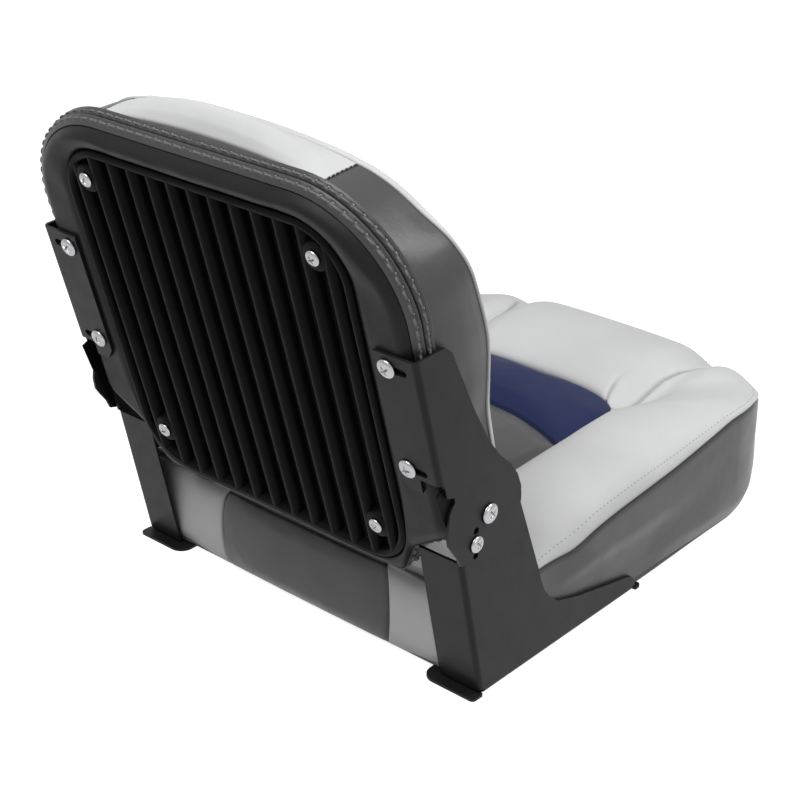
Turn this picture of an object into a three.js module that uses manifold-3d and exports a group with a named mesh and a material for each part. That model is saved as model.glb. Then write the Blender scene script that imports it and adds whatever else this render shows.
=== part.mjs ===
// A fold-down boat seat: a cushion on a base board, two steel side hinges and a padded backrest
// with a ribbed shell on its rear. The seat faces -Y, +Z is up, the sitter's right hand is -X.
// The origin is the centre of the pedestal bolt pattern on the base board's underside.

import * as THREE from 'three';
import { mergeVertices } from 'three/addons/utils/BufferGeometryUtils.js';
import Module from 'manifold-3d';

const wasm = await Module();
wasm.setup();

// Driving dimensions, in millimetres and degrees

const gap = 0.3; // between pieces that touch
const seamGap = 0.9; // between two covers along a slanting seam
const overrun = 6; // how far a cutter runs past what it cuts
const weld = 0.6; // how deep two bends of one sheet share material

const backTilt = 14.8; // backrest lean at rest
const foldRange = 100; // travel from upright to folded

const sheet = { thickness: 2.6, bendRadius: 5 };
const overallWidth = 430; // over the outer faces of the upper hinge plates
const washerThickness = 1.6;

// Planes of the hinge plates, from the outside in
const upperOuterX = overallWidth / 2;
const upperInnerX = upperOuterX - sheet.thickness;
const washerOuterX = upperInnerX - gap;
const lowerOuterX = washerOuterX - washerThickness - gap;
const lowerInnerX = lowerOuterX - sheet.thickness;
// How far inside the lower plates each half width between them ends
const inside = {
  seatPad: 1, seatInsert: 94.9, rearCentre: 109.6, rearSides: 4.6,
  back: 2.1, backOpen: 73.6, backInsert: 95.6, dome: 82.6, shell: 47.6, shellScrew: 78.6,
  tongue: 65.6, waist: 46.6,
};

const placing = {
  bracketRear: 250, // rear foot of the hinges, behind the bolt pattern
  backForward: 3.5, // where the backrest's rear plane meets the hinge's foot plane
};

const pivot = { y: -2.4, z: 182.3, headRadius: 9, headHeight: 4.6, shankRadius: 4, nutRadius: 7.5 };
const stop = { y: 13.3, z: 160.3, headRadius: 7.5, headHeight: 4, shankRadius: 2.9, nutRadius: 6 };
const nutThickness = 4.5;
const stopHole = { radius: 3.25, upperOffset: 12, lowerOffset: 11 };

const leg = {
  length: 232.2, // arm from the rear foot to its front end
  height: 182.3, // foot to the middle of the ear
  rearInset: 4.3, // rear foot corner
  lean: 11.84, // degrees that the rear edge leans back
  earForward: 5.2, // middle of the ear's arc
  earRadius: 38.1,
  flangeWidth: 45,
  flangeTop: 143.6,
};
// Front edge and arm of the leg, as shares of its length and height
const legEdgeShares = [
  [-0.274, 0.745], [-0.343, 0.505], [-0.359, 0.439], [-0.385, 0.363], [-0.426, 0.297], [-0.474, 0.25],
  [-0.604, 0.198], [-0.804, 0.1415], [-0.963, 0.099], [-0.992, 0.06], [-1, 0.0118], [-1, 0],
];

const foot = {
  width: 58, rearReach: 7.5, frontReach: 8.5, cornerRadius: 13, lobeRadius: 4.5, lobeReach: 1.2,
};
const footScrew = { headRadius: 7, headHeight: 2.3, shankRadius: 3.2, length: 16, inset: 29 };
const footScrewShares = [-0.26, -0.78]; // along the arm

const ear = { depth: 88, height: 360 };
// Outline of the upper plate, as shares of its depth and height, from its top rear corner down
const upperShares = [
  [-0.365, 0.975], [-0.433, 0.953], [-0.478, 0.893], [-0.57, 0.781], [-0.685, 0.672], [-0.791, 0.611],
  [-0.911, 0.564], [-0.978, 0.5225], [-0.998, 0.484], [-0.972, 0.451], [-0.882, 0.405], [-0.765, 0.3806],
  [-0.619, 0.3678], [-0.408, 0.3689], [-0.039, 0.42], [-0.0216, 0.4458], [0.024, 0.4747], [0.0545, 0.4978],
  [0.04, 0.528], [0.0045, 0.549], [-0.025, 0.5717], [-0.0636, 0.5839], [-0.126, 0.5947], [-0.1295, 0.607],
];
const upperFlange = {
  rear: 1.5, // its rear face behind the rib crests
  width: 43, top: 357, bottom: 224.5, chamferX: 8, chamferZ: 11, notchFrom: 20.6, notchTop: 238,
  screwInset: 31, slotReach: 16, upperScrew: 344, lowerScrew: 246,
};
const flangeScrew = { headRadius: 8.6, headHeight: 4.3, shankRadius: 3.2, length: 28.2 };

const hingeWasher = { depth: 72, height: 231 };
const washerShares = [
  [-0.079, 0.654], [-0.014, 0.736], [0.004, 0.827], [0.036, 0.874], [0.067, 0.995], [-0.043, 1],
  [-0.13, 0.986], [-0.34, 0.89], [-0.63, 0.866], [-0.88, 0.84], [-0.99, 0.77], [-0.93, 0.69],
  [-0.7, 0.636], [-0.35, 0.632],
];

const rib = { pitch: 23.5, width: 13, count: 13, depth: 9.5 };
const panel = {
  halfWidth: lowerInnerX - inside.shell, bottom: 119, top: 455, cornerRadius: 50, floor: 3, rimWidth: 8,
  screwX: lowerInnerX - inside.shellScrew, screwTop: 425.4, screwBottom: 160.4, bossRadius: 13,
};
const panelScrew = { headRadius: 6.9, headHeight: 3.6, shankRadius: 3.2, length: 26.7 };

// Outline of the backrest at the facing seam: half widths and heights
const back = {
  halfWidth: lowerInnerX - inside.back, top: 474, bottom: 109, tongueHalfWidth: lowerInnerX - inside.tongue,
  waistHalfWidth: lowerInnerX - inside.waist, waistHeight: 147, shoulderHeight: 176, cornerRadius: 96,
  waistRadius: 20, lowRadius: 17,
};
const facing = { front: 12.5, rear: 1.9, round: 5 };
const backBoard = { thickness: 12, inset: 14 };
const band = { seam: 7.2, border: 26.4, bulge: 7.6 };
// Section of the band, as shares of its bulge and of its depth from seam to border
const bandShares = [[0.42, 0.1], [0.72, 0.28], [0.66, 0.52], [0.97, 0.7], [1, 0.88], [0.9, 1]];
const bandBulgeShares = [[0, 0.2], [0.47, 0.2], [0.53, 0.72], [0.74, 0.72], [0.81, 1], [1, 1]];

const backPad = {
  bottom: 112, halfWidth: lowerInnerX - inside.back, openHalfWidth: lowerInnerX - inside.backOpen,
  length: 364, cornerRadius: 97, endBow: 2,
  base: 55.6, foamTop: 55.2, wall: 18, border: 26.8, depth: 88,
  insertHalfWidth: lowerInnerX - inside.backInsert, insertCorner: 258, insertDepth: 48,
  split: 226, splitBow: 30, insertCrown: 6,
};
// How far the backrest has widened from its open end, by height
const backWidthShares = [
  [0, 0], [0.04, 0.0287], [0.09, 0.1092], [0.14, 0.2241], [0.18, 0.4253], [0.21, 0.7126], [0.235, 0.9138],
  [0.26, 1], [1, 1],
];
const backSideShares = [0, 0.04, 0.09, 0.14, 0.18, 0.21, 0.235, 0.26, 0.32, 0.38, 0.46, 0.54, 0.64, 0.7335];
const backSeamShares = [
  [0, 0.72], [0.15, 0.8], [0.4, 0.83], [0.6, 0.98], [0.75, 0.935], [0.88, 0.846], [1, 0.775],
];
const backCrownShares = [
  [0, 0.8], [0.15, 0.92], [0.4, 1], [0.6, 1.045], [0.75, 0.96], [0.88, 0.97], [1, 0.93],
];
const backInsertShares = [[0, 0.74], [0.15, 0.83], [0.5, 0.88], [0.8, 0.86], [1, 0.84]];
// Rim of the backrest: how far its side bulges and its front seam stands past the edge, by height.
// Both rise to a dome in the middle of the top.
const rim = { bulge: 5, welt: 10, domeBulge: 18, domeWelt: 9, cornerPoints: 6, endThickness: 4 };
const domeHalfWidth = lowerInnerX - inside.dome;
const rimBulgeShares = [
  [0, 0.2], [0.36, 0.12], [0.5, 0.4], [0.62, 0.88], [0.735, 0.72], [0.83, 0.36], [0.92, 0.06], [1, 0.06],
];
const rimWeltShares = [
  [0, 0.05], [0.36, 0.04], [0.5, 0.28], [0.735, 0.17], [0.83, -0.18], [0.92, -0.94], [1, -0.77],
];
// Section of the rim, as shares of its bulge and of its depth from the band to the front seam
const rimSectionShares = [[0.35, 0], [0.8, 0.2], [1, 0.5], [0.62, 0.78], [0, 1]];

const seatBoard = { thickness: 12, inset: 9 };
const seatPad = {
  rear: 15.2, halfWidth: lowerInnerX - inside.seatPad, openHalfWidth: lowerInnerX - inside.seatPad,
  length: 489, cornerRadius: 112, endBow: 3,
  base: 62, foamTop: 61.6, wall: 8, depth: 139, lowEdge: 0.4, armTop: 47,
  insertHalfWidth: lowerInnerX - inside.seatInsert, insertCorner: 285, insertDepth: 50,
  split: 221, splitBow: 28, insertCrown: 7,
};
const seatSideShares = [0, 0.05, 0.11, 0.17, 0.23, 0.29, 0.36, 0.44, 0.5, 0.56, 0.64, 0.71, 0.771];
const seatSeamShares = [
  [0, 0.6], [0.22, 0.6], [0.3, 0.67], [0.36, 0.7], [0.456, 0.73], [0.54, 0.755], [0.667, 0.815],
  [0.755, 0.86], [0.82, 0.865], [0.89, 0.81], [0.95, 0.72], [1, 0.64],
];
const seatCrownShares = [
  [0, 0.64], [0.1, 0.665], [0.16, 0.71], [0.22, 0.8], [0.33, 0.905], [0.6, 0.945], [0.77, 0.95],
  [0.86, 0.905], [0.93, 0.87], [1, 0.957],
];
const seatInsertShares = [
  [0, 0.6], [0.1, 0.64], [0.18, 0.72], [0.35, 0.77], [0.5, 0.785], [0.66, 0.8], [0.75, 0.815], [0.87, 0.825],
  [1, 0.83],
];
// Valleys where the front of the roll meets its sides, past the insert's edges
const valley = { depth: 13, past: 2.3, width: 18, from: 290, full: 350 };
const boxing = { highSwell: 7, lowSwell: 6 };
const highSwellShares = [[0, 0], [0.16, 0], [0.3, 0.9], [0.5, 1], [1, 1]];
const lowSwellShares = [[0, 0], [0.47, 0], [0.56, 1], [1, 1]];
const boxingShares = { foot: 0.6, low: 0.5, bend: 0.3, middle: 0.4 };
const rearPanel = {
  halfWidth: lowerInnerX - inside.rearCentre, outerHalfWidth: lowerInnerX - inside.rearSides,
  thickness: 7.4, top: 80,
};
const rearFlatShare = 0.3; // of the rear panels' thickness, at their edges

const pedestalPattern = 127; // square bolt pattern
const teeNut = {
  flangeRadius: 7.4, flangeThickness: 1.2, barrelRadius: 4, boreRadius: 3.5, barrelLength: 9,
};

// Shares of a screw head: height of its rim, half width, reach and floor of the cross in it
const headShares = { rim: 0.25, slot: 0.11, cross: 0.48, floor: 0.45 };
const flatHeadShare = 0.15; // height of a countersunk head's rim
const slotRoundShare = 0.98; // of a slot's half width
// Powers that round the covers: 1 is a plain sine or ellipse
const powers = { roll: 0.8, insert: 0.5, insertCorner: 2 / 3, insertEnd: 3, rearWall: 0.6 };

// Counts of facets
const facets = {
  round: 18, small: 12, arc: 6, corner: 8, crown: 8, dome: 3, end: 3, wallColumns: 5, wallRows: 7, bevel: 3,
  insertRear: 6, insertFront: 5, hexagon: 6,
};

// Sizes worked out from the driving ones

const rad = THREE.MathUtils.degToRad;
const footTop = -gap;
const footBottom = footTop - sheet.thickness;

// Materials

/** A plain material from a colour, a roughness and a metalness. */
function material(color, roughness, metalness = 0) {
  return new THREE.MeshStandardMaterial({ color, roughness, metalness });
}

const lightVinyl = material(0xc9cbcc, 0.5);
const charcoalVinyl = material(0x4b4d50, 0.5);
const navyVinyl = material(0x2b335f, 0.5);
const blackSteel = material(0x26272a, 0.4, 0.4);
const blackPlastic = material(0x151516, 0.6);
const brightSteel = material(0xc4c6c8, 0.25, 1);
const plywood = material(0xb78e5c, 0.7);
const foam = material(0xe8dfb8, 0.9);

// Booleans

/** Turns a closed geometry into a solid. */
function solid(geometry) {
  const bare = geometry.clone();
  bare.deleteAttribute('normal');
  bare.deleteAttribute('uv');
  const merged = mergeVertices(bare);
  const vertProperties = new Float32Array(merged.attributes.position.array);
  const triVerts = new Uint32Array(merged.index.array);
  return new wasm.Manifold(new wasm.Mesh({ numProp: 3, vertProperties, triVerts }));
}

/** Turns a solid back into a geometry. */
function geometryOf(body) {
  const mesh = body.getMesh();
  const geometry = new THREE.BufferGeometry();
  geometry.setAttribute('position', new THREE.BufferAttribute(new Float32Array(mesh.vertProperties), 3));
  geometry.setIndex(new THREE.BufferAttribute(new Uint32Array(mesh.triVerts), 1));
  geometry.computeVertexNormals();
  return geometry;
}

/** Cuts each of a list of geometries out of a solid. */
function cutAll(body, cutters) {
  return cutters.reduce((rest, cutter) => rest.subtract(solid(cutter)), body);
}

/** The same geometry on the other side of the object. */
function mirrored(geometry) {
  const copy = mergeVertices(geometry.clone().deleteAttribute('normal'));
  copy.applyMatrix4(new THREE.Matrix4().makeScale(-1, 1, 1));
  copy.index.array.reverse();
  copy.computeVertexNormals();
  return copy;
}

// Outlines and profiles

/** A closed shape from [x, y] points. */
function shapeOf(points) {
  return new THREE.Shape(points.map(([x, y]) => new THREE.Vector2(x, y)));
}

/** Reads a table of [place, value] shares at a place, with straight lines between its rows. */
function shareAt(table, place) {
  const next = table.findIndex(([at]) => at >= place);
  if (next === 0) return table[0][1];
  if (next < 0) return table[table.length - 1][1];
  const [from, low] = table[next - 1];
  const [to, high] = table[next];
  return low + ((high - low) * (place - from)) / (to - from);
}

/**
 * Points round a closed outline whose corners, [x, y, radius], are rounded by arcs. Each point is
 * [x, y, nx, ny] with its outward normal. The corners run anticlockwise.
 */
function roundedOutline(corners, steps = facets.arc) {
  const points = [];
  corners.forEach(([x, y, radius], index) => {
    const corner = new THREE.Vector2(x, y);
    const [bx, by] = corners[(index + corners.length - 1) % corners.length];
    const [ax, ay] = corners[(index + 1) % corners.length];
    const before = new THREE.Vector2(bx, by).sub(corner).normalize();
    const after = new THREE.Vector2(ax, ay).sub(corner).normalize();
    const half = Math.acos(THREE.MathUtils.clamp(before.dot(after), -1, 1)) / 2;
    const reach = radius / Math.tan(half);
    const middle = before.clone().add(after).normalize();
    const centre = corner.clone().addScaledVector(middle, radius / Math.sin(half));
    const first = corner.clone().addScaledVector(before, reach).sub(centre);
    const last = corner.clone().addScaledVector(after, reach).sub(centre);
    const start = first.angle();
    let turn = last.angle() - start;
    if (turn > Math.PI) turn -= 2 * Math.PI;
    if (turn < -Math.PI) turn += 2 * Math.PI;
    for (let step = 0; step <= steps; step += 1) {
      const angle = start + (turn * step) / steps;
      const [nx, ny] = [Math.cos(angle), Math.sin(angle)];
      const sense = Math.sign(turn);
      points.push([centre.x + radius * nx, centre.y + radius * ny, nx * sense, ny * sense]);
    }
  });
  return points;
}

/** Both halves of an outline from the corners of its +X half, listed from the bottom up. */
function bothSides(half) {
  return [...half, ...half.map(([x, y, radius]) => [-x, y, radius]).reverse()];
}

/** Adds points to the long straight stretches of a closed outline. */
function spaced(points, longest) {
  return points.flatMap((point, index) => {
    const next = points[(index + 1) % points.length];
    const pieces = Math.max(Math.ceil(Math.hypot(next[0] - point[0], next[1] - point[1]) / longest), 1);
    return Array.from({ length: pieces }, (_, step) => (
      point.map((value, axis) => value + ((next[axis] - value) * step) / pieces)
    ));
  });
}

// Solids from outlines

/** Extrudes an outline drawn in (y, z) along +X from a place on X. */
function sideways(shape, fromX, depth) {
  const geometry = new THREE.ExtrudeGeometry(shape, { depth, bevelEnabled: false });
  const axes = new THREE.Matrix4().makeBasis(
    new THREE.Vector3(0, 1, 0), new THREE.Vector3(0, 0, 1), new THREE.Vector3(1, 0, 0),
  );
  return geometry.applyMatrix4(axes).translate(fromX, 0, 0);
}

/** Extrudes an outline drawn in (x, z) forward, along -Y, from a place on Y. */
function forward(shape, fromY, depth, options = { bevelEnabled: false }) {
  const geometry = new THREE.ExtrudeGeometry(shape, { depth, ...options });
  const axes = new THREE.Matrix4().makeBasis(
    new THREE.Vector3(1, 0, 0), new THREE.Vector3(0, 0, 1), new THREE.Vector3(0, -1, 0),
  );
  return geometry.applyMatrix4(axes).translate(0, fromY, 0);
}

/** Extrudes an outline drawn in (x, y) upward from a height. */
function upward(shape, fromZ, depth) {
  return new THREE.ExtrudeGeometry(shape, { depth, bevelEnabled: false }).translate(0, 0, fromZ);
}

/** A cylinder along X, Y or Z between two places on that axis. */
function rod(axis, radius, from, to, [u, v], sides = facets.small) {
  const geometry = new THREE.CylinderGeometry(radius, radius, to - from, sides);
  const middle = (from + to) / 2;
  if (axis === 'x') return geometry.rotateZ(Math.PI / 2).translate(middle, u, v);
  if (axis === 'y') return geometry.translate(u, middle, v);
  return geometry.rotateX(Math.PI / 2).translate(u, v, middle);
}

/** A block between two corners. */
function block([x0, y0, z0], [x1, y1, z1]) {
  const geometry = new THREE.BoxGeometry(x1 - x0, y1 - y0, z1 - z0);
  return geometry.translate((x0 + x1) / 2, (y0 + y1) / 2, (z0 + z1) / 2);
}

/**
 * Skins a row of sections into one closed body. A section holds a flat profile of [u, v] points
 * and the function that puts such a point in space.
 */
function loft(sections, closed = false) {
  const size = sections[0].profile.length;
  const positions = sections.flatMap(({ profile, put }) => profile.flatMap((point) => put(...point)));
  const faces = [];
  const spans = closed ? sections.length : sections.length - 1;
  for (let row = 0; row < spans; row += 1) {
    const here = row * size;
    const there = ((row + 1) % sections.length) * size;
    for (let column = 0; column < size; column += 1) {
      const next = (column + 1) % size;
      faces.push([here + column, there + column, there + next], [here + column, there + next, here + next]);
    }
  }
  if (!closed) {
    const last = sections.length - 1;
    faces.push(...capFaces(sections[0].profile, 0, true));
    faces.push(...capFaces(sections[last].profile, last * size, false));
  }
  return outward(positions, faces);
}

/** Triangles over a profile, in its own order or the other way round. */
function capFaces(profile, offset, ownOrder) {
  const flat = profile.map(([u, v]) => new THREE.Vector2(u, v));
  const whole = THREE.ShapeUtils.area(flat);
  return THREE.ShapeUtils.triangulateShape(flat, []).map(([a, b, c]) => {
    const same = THREE.ShapeUtils.area([flat[a], flat[b], flat[c]]) * whole > 0;
    const order = same === ownOrder ? [a, b, c] : [c, b, a];
    return order.map((index) => index + offset);
  });
}

/** A geometry from points and faces, turned so that its faces point out. */
function outward(positions, faces) {
  const at = (index) => new THREE.Vector3().fromArray(positions, index * 3);
  const volume = faces.reduce((sum, [a, b, c]) => sum + at(a).dot(at(b).cross(at(c))), 0);
  const ordered = volume < 0 ? faces.map(([a, b, c]) => [a, c, b]) : faces;
  const geometry = new THREE.BufferGeometry();
  geometry.setAttribute('position', new THREE.Float32BufferAttribute(positions, 3));
  geometry.setIndex(ordered.flat());
  geometry.computeVertexNormals();
  return geometry;
}

// Fasteners

/** Height of a truss head at an angle up its dome, as a share of the whole. */
function rimAndDome(angle) {
  return headShares.rim + (1 - headShares.rim) * Math.sin(angle);
}

/** A truss-head screw along +Y, seated at the origin, with a cross recess in its head. */
function crossScrew({ headRadius, headHeight, shankRadius, length }, sides = facets.round) {
  const dome = Array.from({ length: facets.dome + 1 }, (_, step) => {
    const angle = (step / facets.dome) * (Math.PI / 2);
    return new THREE.Vector2(headRadius * Math.cos(angle), headHeight * rimAndDome(angle));
  });
  dome[dome.length - 1].x = 0;
  const profile = [
    new THREE.Vector2(0, -length), new THREE.Vector2(shankRadius, -length),
    new THREE.Vector2(shankRadius, 0), new THREE.Vector2(headRadius, 0), ...dome,
  ];
  const body = solid(new THREE.LatheGeometry(profile, sides));
  const slotHalf = headRadius * headShares.slot;
  const slotReach = headRadius * headShares.cross;
  const floor = headHeight * headShares.floor;
  const top = headHeight + overrun;
  return geometryOf(cutAll(body, [
    block([-slotHalf, floor, -slotReach], [slotHalf, top, slotReach]),
    block([-slotReach, floor, -slotHalf], [slotReach, top, slotHalf]),
  ]));
}

/** A countersunk screw along +Z whose flat head ends at the origin's plane. */
function countersunkScrew({ headRadius, headHeight, shankRadius, length }) {
  const profile = [
    [0, 0], [headRadius, 0], [headRadius, headHeight * flatHeadShare], [shankRadius, headHeight],
    [shankRadius, length], [0, length],
  ].map(([r, z]) => new THREE.Vector2(r, z));
  return new THREE.LatheGeometry(profile, facets.small).rotateX(Math.PI / 2);
}

/** A tee nut whose flange lies on +Z of the origin's plane and whose barrel runs down. */
function teeNutBody() {
  const { flangeRadius, flangeThickness, barrelRadius, boreRadius, barrelLength } = teeNut;
  const profile = [
    [boreRadius, -barrelLength], [barrelRadius, -barrelLength], [barrelRadius, 0], [flangeRadius, 0],
    [flangeRadius, flangeThickness], [boreRadius, flangeThickness], [boreRadius, -barrelLength],
  ].map(([r, z]) => new THREE.Vector2(r, z));
  return new THREE.LatheGeometry(profile, facets.small).rotateX(Math.PI / 2);
}

/** A hexagon nut along X with a bore, from its inboard face to the plate. */
function hexNut(radius, bore, fromX, [y, z]) {
  const body = solid(rod('x', radius, fromX - nutThickness, fromX, [y, z], facets.hexagon));
  return geometryOf(cutAll(body, [rod('x', bore, fromX - nutThickness - overrun, fromX + overrun, [y, z])]));
}

// Scene graph

const seat = new THREE.Group();
const hingeFrame = new THREE.Group(); // y from the hinges' rear foot, z from their underside
hingeFrame.position.set(0, placing.bracketRear, footBottom);
const cushionFrame = new THREE.Group(); // the same, with z from the base board's underside
cushionFrame.position.set(0, placing.bracketRear, 0);
const backFrame = new THREE.Group(); // y behind the rib crests, z up the backrest
backFrame.position.set(0, -placing.backForward, 0);
backFrame.rotation.x = -rad(backTilt);
hingeFrame.add(backFrame);
seat.add(hingeFrame, cushionFrame);

/** Adds a named mesh to a group. */
function add(parent, name, geometry, finish) {
  const mesh = new THREE.Mesh(geometry, finish);
  mesh.name = name;
  parent.add(mesh);
  return mesh;
}

/** Adds the +X geometry as NAME_left and its mirror image as NAME_right. */
function addPair(parent, name, geometry, finish) {
  add(parent, `${name}_left`, geometry, finish);
  add(parent, `${name}_right`, mirrored(geometry), finish);
}

/** Adds copies of one piece at their places, numbered from 1. */
function addEach(parent, name, geometry, places, finish) {
  places.forEach((place, index) => {
    add(parent, `${name}_${index + 1}`, geometry, finish).position.set(...place);
  });
}

/** Turns a place in the hinge frame, (y, z), into the backrest's frame. */
function inBackFrame({ y, z }) {
  const tilt = rad(backTilt);
  const behind = y + placing.backForward;
  return [behind * Math.cos(tilt) - z * Math.sin(tilt), behind * Math.sin(tilt) + z * Math.cos(tilt)];
}

const pivotInBack = inBackFrame(pivot);
const stopInBack = inBackFrame(stop);

// Lower hinge bracket

/** Side plate outline of the leg: leaning rear edge, round ear, front edge and arm. */
function legOutline() {
  const lean = rad(leg.lean);
  const rearAngle = -lean;
  const [kneeY, kneeZ] = [legEdgeShares[0][0] * leg.length, legEdgeShares[0][1] * leg.height];
  const toKnee = Math.atan2(kneeZ - leg.height, kneeY + leg.earForward);
  const reach = Math.hypot(kneeY + leg.earForward, kneeZ - leg.height);
  const frontAngle = toKnee - Math.acos(leg.earRadius / reach) + 2 * Math.PI;
  const arc = Array.from({ length: facets.round + 1 }, (_, step) => {
    const angle = rearAngle + ((frontAngle - rearAngle) * step) / facets.round;
    return [leg.earRadius * Math.cos(angle) - leg.earForward, leg.earRadius * Math.sin(angle) + leg.height];
  });
  const edge = legEdgeShares.map(([y, z]) => [y * leg.length, z * leg.height]);
  return [[-leg.rearInset, 0], ...arc, ...edge];
}

/** Curved slot in the ear that the stop bolt runs along. */
function stopSlot() {
  const radius = Math.hypot(stop.y - pivot.y, stop.z - pivot.z);
  const half = stop.shankRadius + gap;
  const start = Math.atan2(stop.z - pivot.z, stop.y - pivot.y);
  const end = start + rad(foldRange) + (2 * gap + stop.shankRadius) / radius;
  const ring = (r, from, to) => Array.from({ length: facets.round + 1 }, (_, step) => {
    const angle = from + ((to - from) * step) / facets.round;
    return [pivot.y + r * Math.cos(angle), pivot.z + r * Math.sin(angle)];
  });
  const cap = (angle, sense) => Array.from({ length: facets.arc - 1 }, (_, step) => {
    const turn = angle + (sense * Math.PI * (step + 1)) / facets.arc;
    return [
      pivot.y + radius * Math.cos(angle) + half * Math.cos(turn),
      pivot.z + radius * Math.sin(angle) + half * Math.sin(turn),
    ];
  });
  return [
    ...ring(radius + half, start, end), ...cap(end, 1),
    ...ring(radius - half, end, start), ...cap(start + Math.PI, 1).map(([y, z]) => [
      y + 2 * radius * Math.cos(start), z + 2 * radius * Math.sin(start),
    ]),
  ];
}

/** Section of a bent corner with a flange, in (x, w): outer face at w = 0, side plate running to -w. */
function bendSection(outerX, flangeWidth) {
  const { thickness, bendRadius } = sheet;
  const centreX = outerX - bendRadius;
  const inner = bendRadius - thickness;
  const arc = (radius, from, to) => Array.from({ length: facets.arc + 1 }, (_, step) => {
    const angle = from + ((to - from) * step) / facets.arc;
    return [centreX + radius * Math.cos(angle), -bendRadius + radius * Math.sin(angle)];
  });
  return [
    [outerX, -bendRadius - weld], ...arc(bendRadius, 0, Math.PI / 2), [outerX - flangeWidth, 0],
    [outerX - flangeWidth, -thickness], ...arc(inner, Math.PI / 2, 0),
    [outerX - thickness, -bendRadius - weld],
  ];
}

/** One bent sheet: side plate with ear and arm, rear flange, and foot under the base board. */
function lowerBracket() {
  const lean = rad(leg.lean);
  const radius = sheet.bendRadius;
  const long = leg.height + leg.earRadius + overrun;
  const leaning = (geometry) => geometry.rotateX(-lean).translate(0, -leg.rearInset, 0);

  const flangeLength = leg.flangeTop / Math.cos(lean);
  const [fromX, toX] = [lowerInnerX - overrun, lowerOuterX + overrun];
  const behindBend = leaning(block([fromX, -radius, -long], [toX, long, flangeLength]));
  const underBend = block([fromX, -leg.length - overrun, -overrun], [toX, long, radius]);
  const slot = sideways(shapeOf(stopSlot()), fromX, toX - fromX);
  const pivotHole = rod('x', pivot.shankRadius + gap, fromX, toX, [pivot.y, pivot.z]);
  const plate = cutAll(
    solid(sideways(shapeOf(legOutline()), lowerInnerX, sheet.thickness)),
    [behindBend, underBend, slot, pivotHole],
  );

  const section = shapeOf(bendSection(lowerOuterX, leg.flangeWidth));
  const rearFlange = leaning(upward(section, radius, flangeLength - radius));
  const footBend = forward(
    shapeOf(bendSection(lowerOuterX, 2 * radius).map(([x, w]) => [x, -w])),
    -leg.rearInset - radius - weld, leg.length - leg.rearInset - 2 * radius,
  );

  const inner = lowerOuterX - foot.width;
  const lobe = lowerOuterX + foot.lobeReach;
  const shy = lowerOuterX - radius;
  const front = -leg.length - foot.frontReach;
  const footOutline = [
    [inner, foot.rearReach, foot.cornerRadius], [inner, front, foot.cornerRadius],
    [lobe, front, foot.lobeRadius], [lobe, -leg.length + foot.lobeReach, foot.lobeReach],
    [shy, -leg.length + foot.lobeReach, foot.lobeReach],
    [shy, -leg.rearInset - radius, foot.lobeReach], [lobe, -leg.rearInset - foot.lobeReach, foot.lobeReach],
    [lobe, foot.rearReach, foot.lobeRadius],
  ];
  const screwHoles = footScrewShares.map((share) => (
    countersunkHole(lowerOuterX - footScrew.inset, share * leg.length)
  ));
  const flat = solid(upward(shapeOf(roundedOutline(footOutline)), 0, sheet.thickness));
  const footPlate = cutAll(flat, screwHoles);
  return geometryOf(plate.add(solid(rearFlange)).add(solid(footBend)).add(footPlate));
}

/** The countersunk hole for a foot screw, in the hinge frame. */
function countersunkHole(x, y) {
  const { headRadius, headHeight, shankRadius } = footScrew;
  const profile = [
    [0, -overrun], [headRadius + gap, -overrun], [headRadius + gap, headHeight * flatHeadShare + gap],
    [shankRadius + gap, headHeight + gap], [shankRadius + gap, sheet.thickness + overrun],
    [0, sheet.thickness + overrun],
  ].map(([r, z]) => new THREE.Vector2(r, z));
  return new THREE.LatheGeometry(profile, facets.small).rotateX(Math.PI / 2).translate(x, y, 0);
}

addPair(hingeFrame, 'lower_bracket', lowerBracket(), blackSteel);

// Upper hinge bracket

/** One bent sheet: side plate with the pivot lobe, and the flange screwed to the backrest. */
function upperBracket() {
  const bendLine = upperFlange.rear - sheet.bendRadius;
  const outline = [
    [bendLine, upperFlange.top], ...upperShares.map(([n, s]) => [n * ear.depth, s * ear.height]),
    [bendLine, upperShares[upperShares.length - 1][1] * ear.height + sheet.bendRadius],
  ];
  const through = (radius, [n, s]) => rod('x', radius, upperInnerX - overrun, upperOuterX + overrun, [n, s]);
  const along = new THREE.Vector2(Math.sin(rad(backTilt)), -Math.cos(rad(backTilt)));
  const holeRow = [-stopHole.upperOffset, 0, stopHole.lowerOffset].map((offset) => (
    through(stopHole.radius, [stopInBack[0] + along.x * offset, stopInBack[1] + along.y * offset])
  ));
  const plate = cutAll(
    solid(sideways(shapeOf(outline), upperInnerX, sheet.thickness)),
    [through(pivot.shankRadius + gap, pivotInBack), ...holeRow],
  );

  const section = shapeOf(bendSection(upperOuterX, upperFlange.width));
  const folded = upward(section, upperFlange.bottom, upperFlange.top - upperFlange.bottom);
  folded.translate(0, upperFlange.rear, 0);
  const inner = upperOuterX - upperFlange.width;
  const notch = upperOuterX - upperFlange.notchFrom;
  const face = [
    [inner, upperFlange.top], [inner, upperFlange.bottom + upperFlange.chamferZ],
    [inner + upperFlange.chamferX, upperFlange.bottom], [notch, upperFlange.bottom],
    [notch, upperFlange.notchTop], [upperOuterX + overrun, upperFlange.notchTop],
    [upperOuterX + overrun, upperFlange.top],
  ];
  const cutter = forward(shapeOf(face), upperFlange.rear + overrun, sheet.bendRadius + 2 * overrun);
  const flange = solid(folded).intersect(solid(cutter));
  return geometryOf(cutAll(plate.add(flange), flangeScrewPlaces().map(flangeSlot)));
}

/** Heights of the two screws in a bracket's flange. */
function flangeScrewPlaces() {
  return [upperFlange.upperScrew, upperFlange.lowerScrew];
}

const flangeScrewX = upperOuterX - upperFlange.screwInset;

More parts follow.
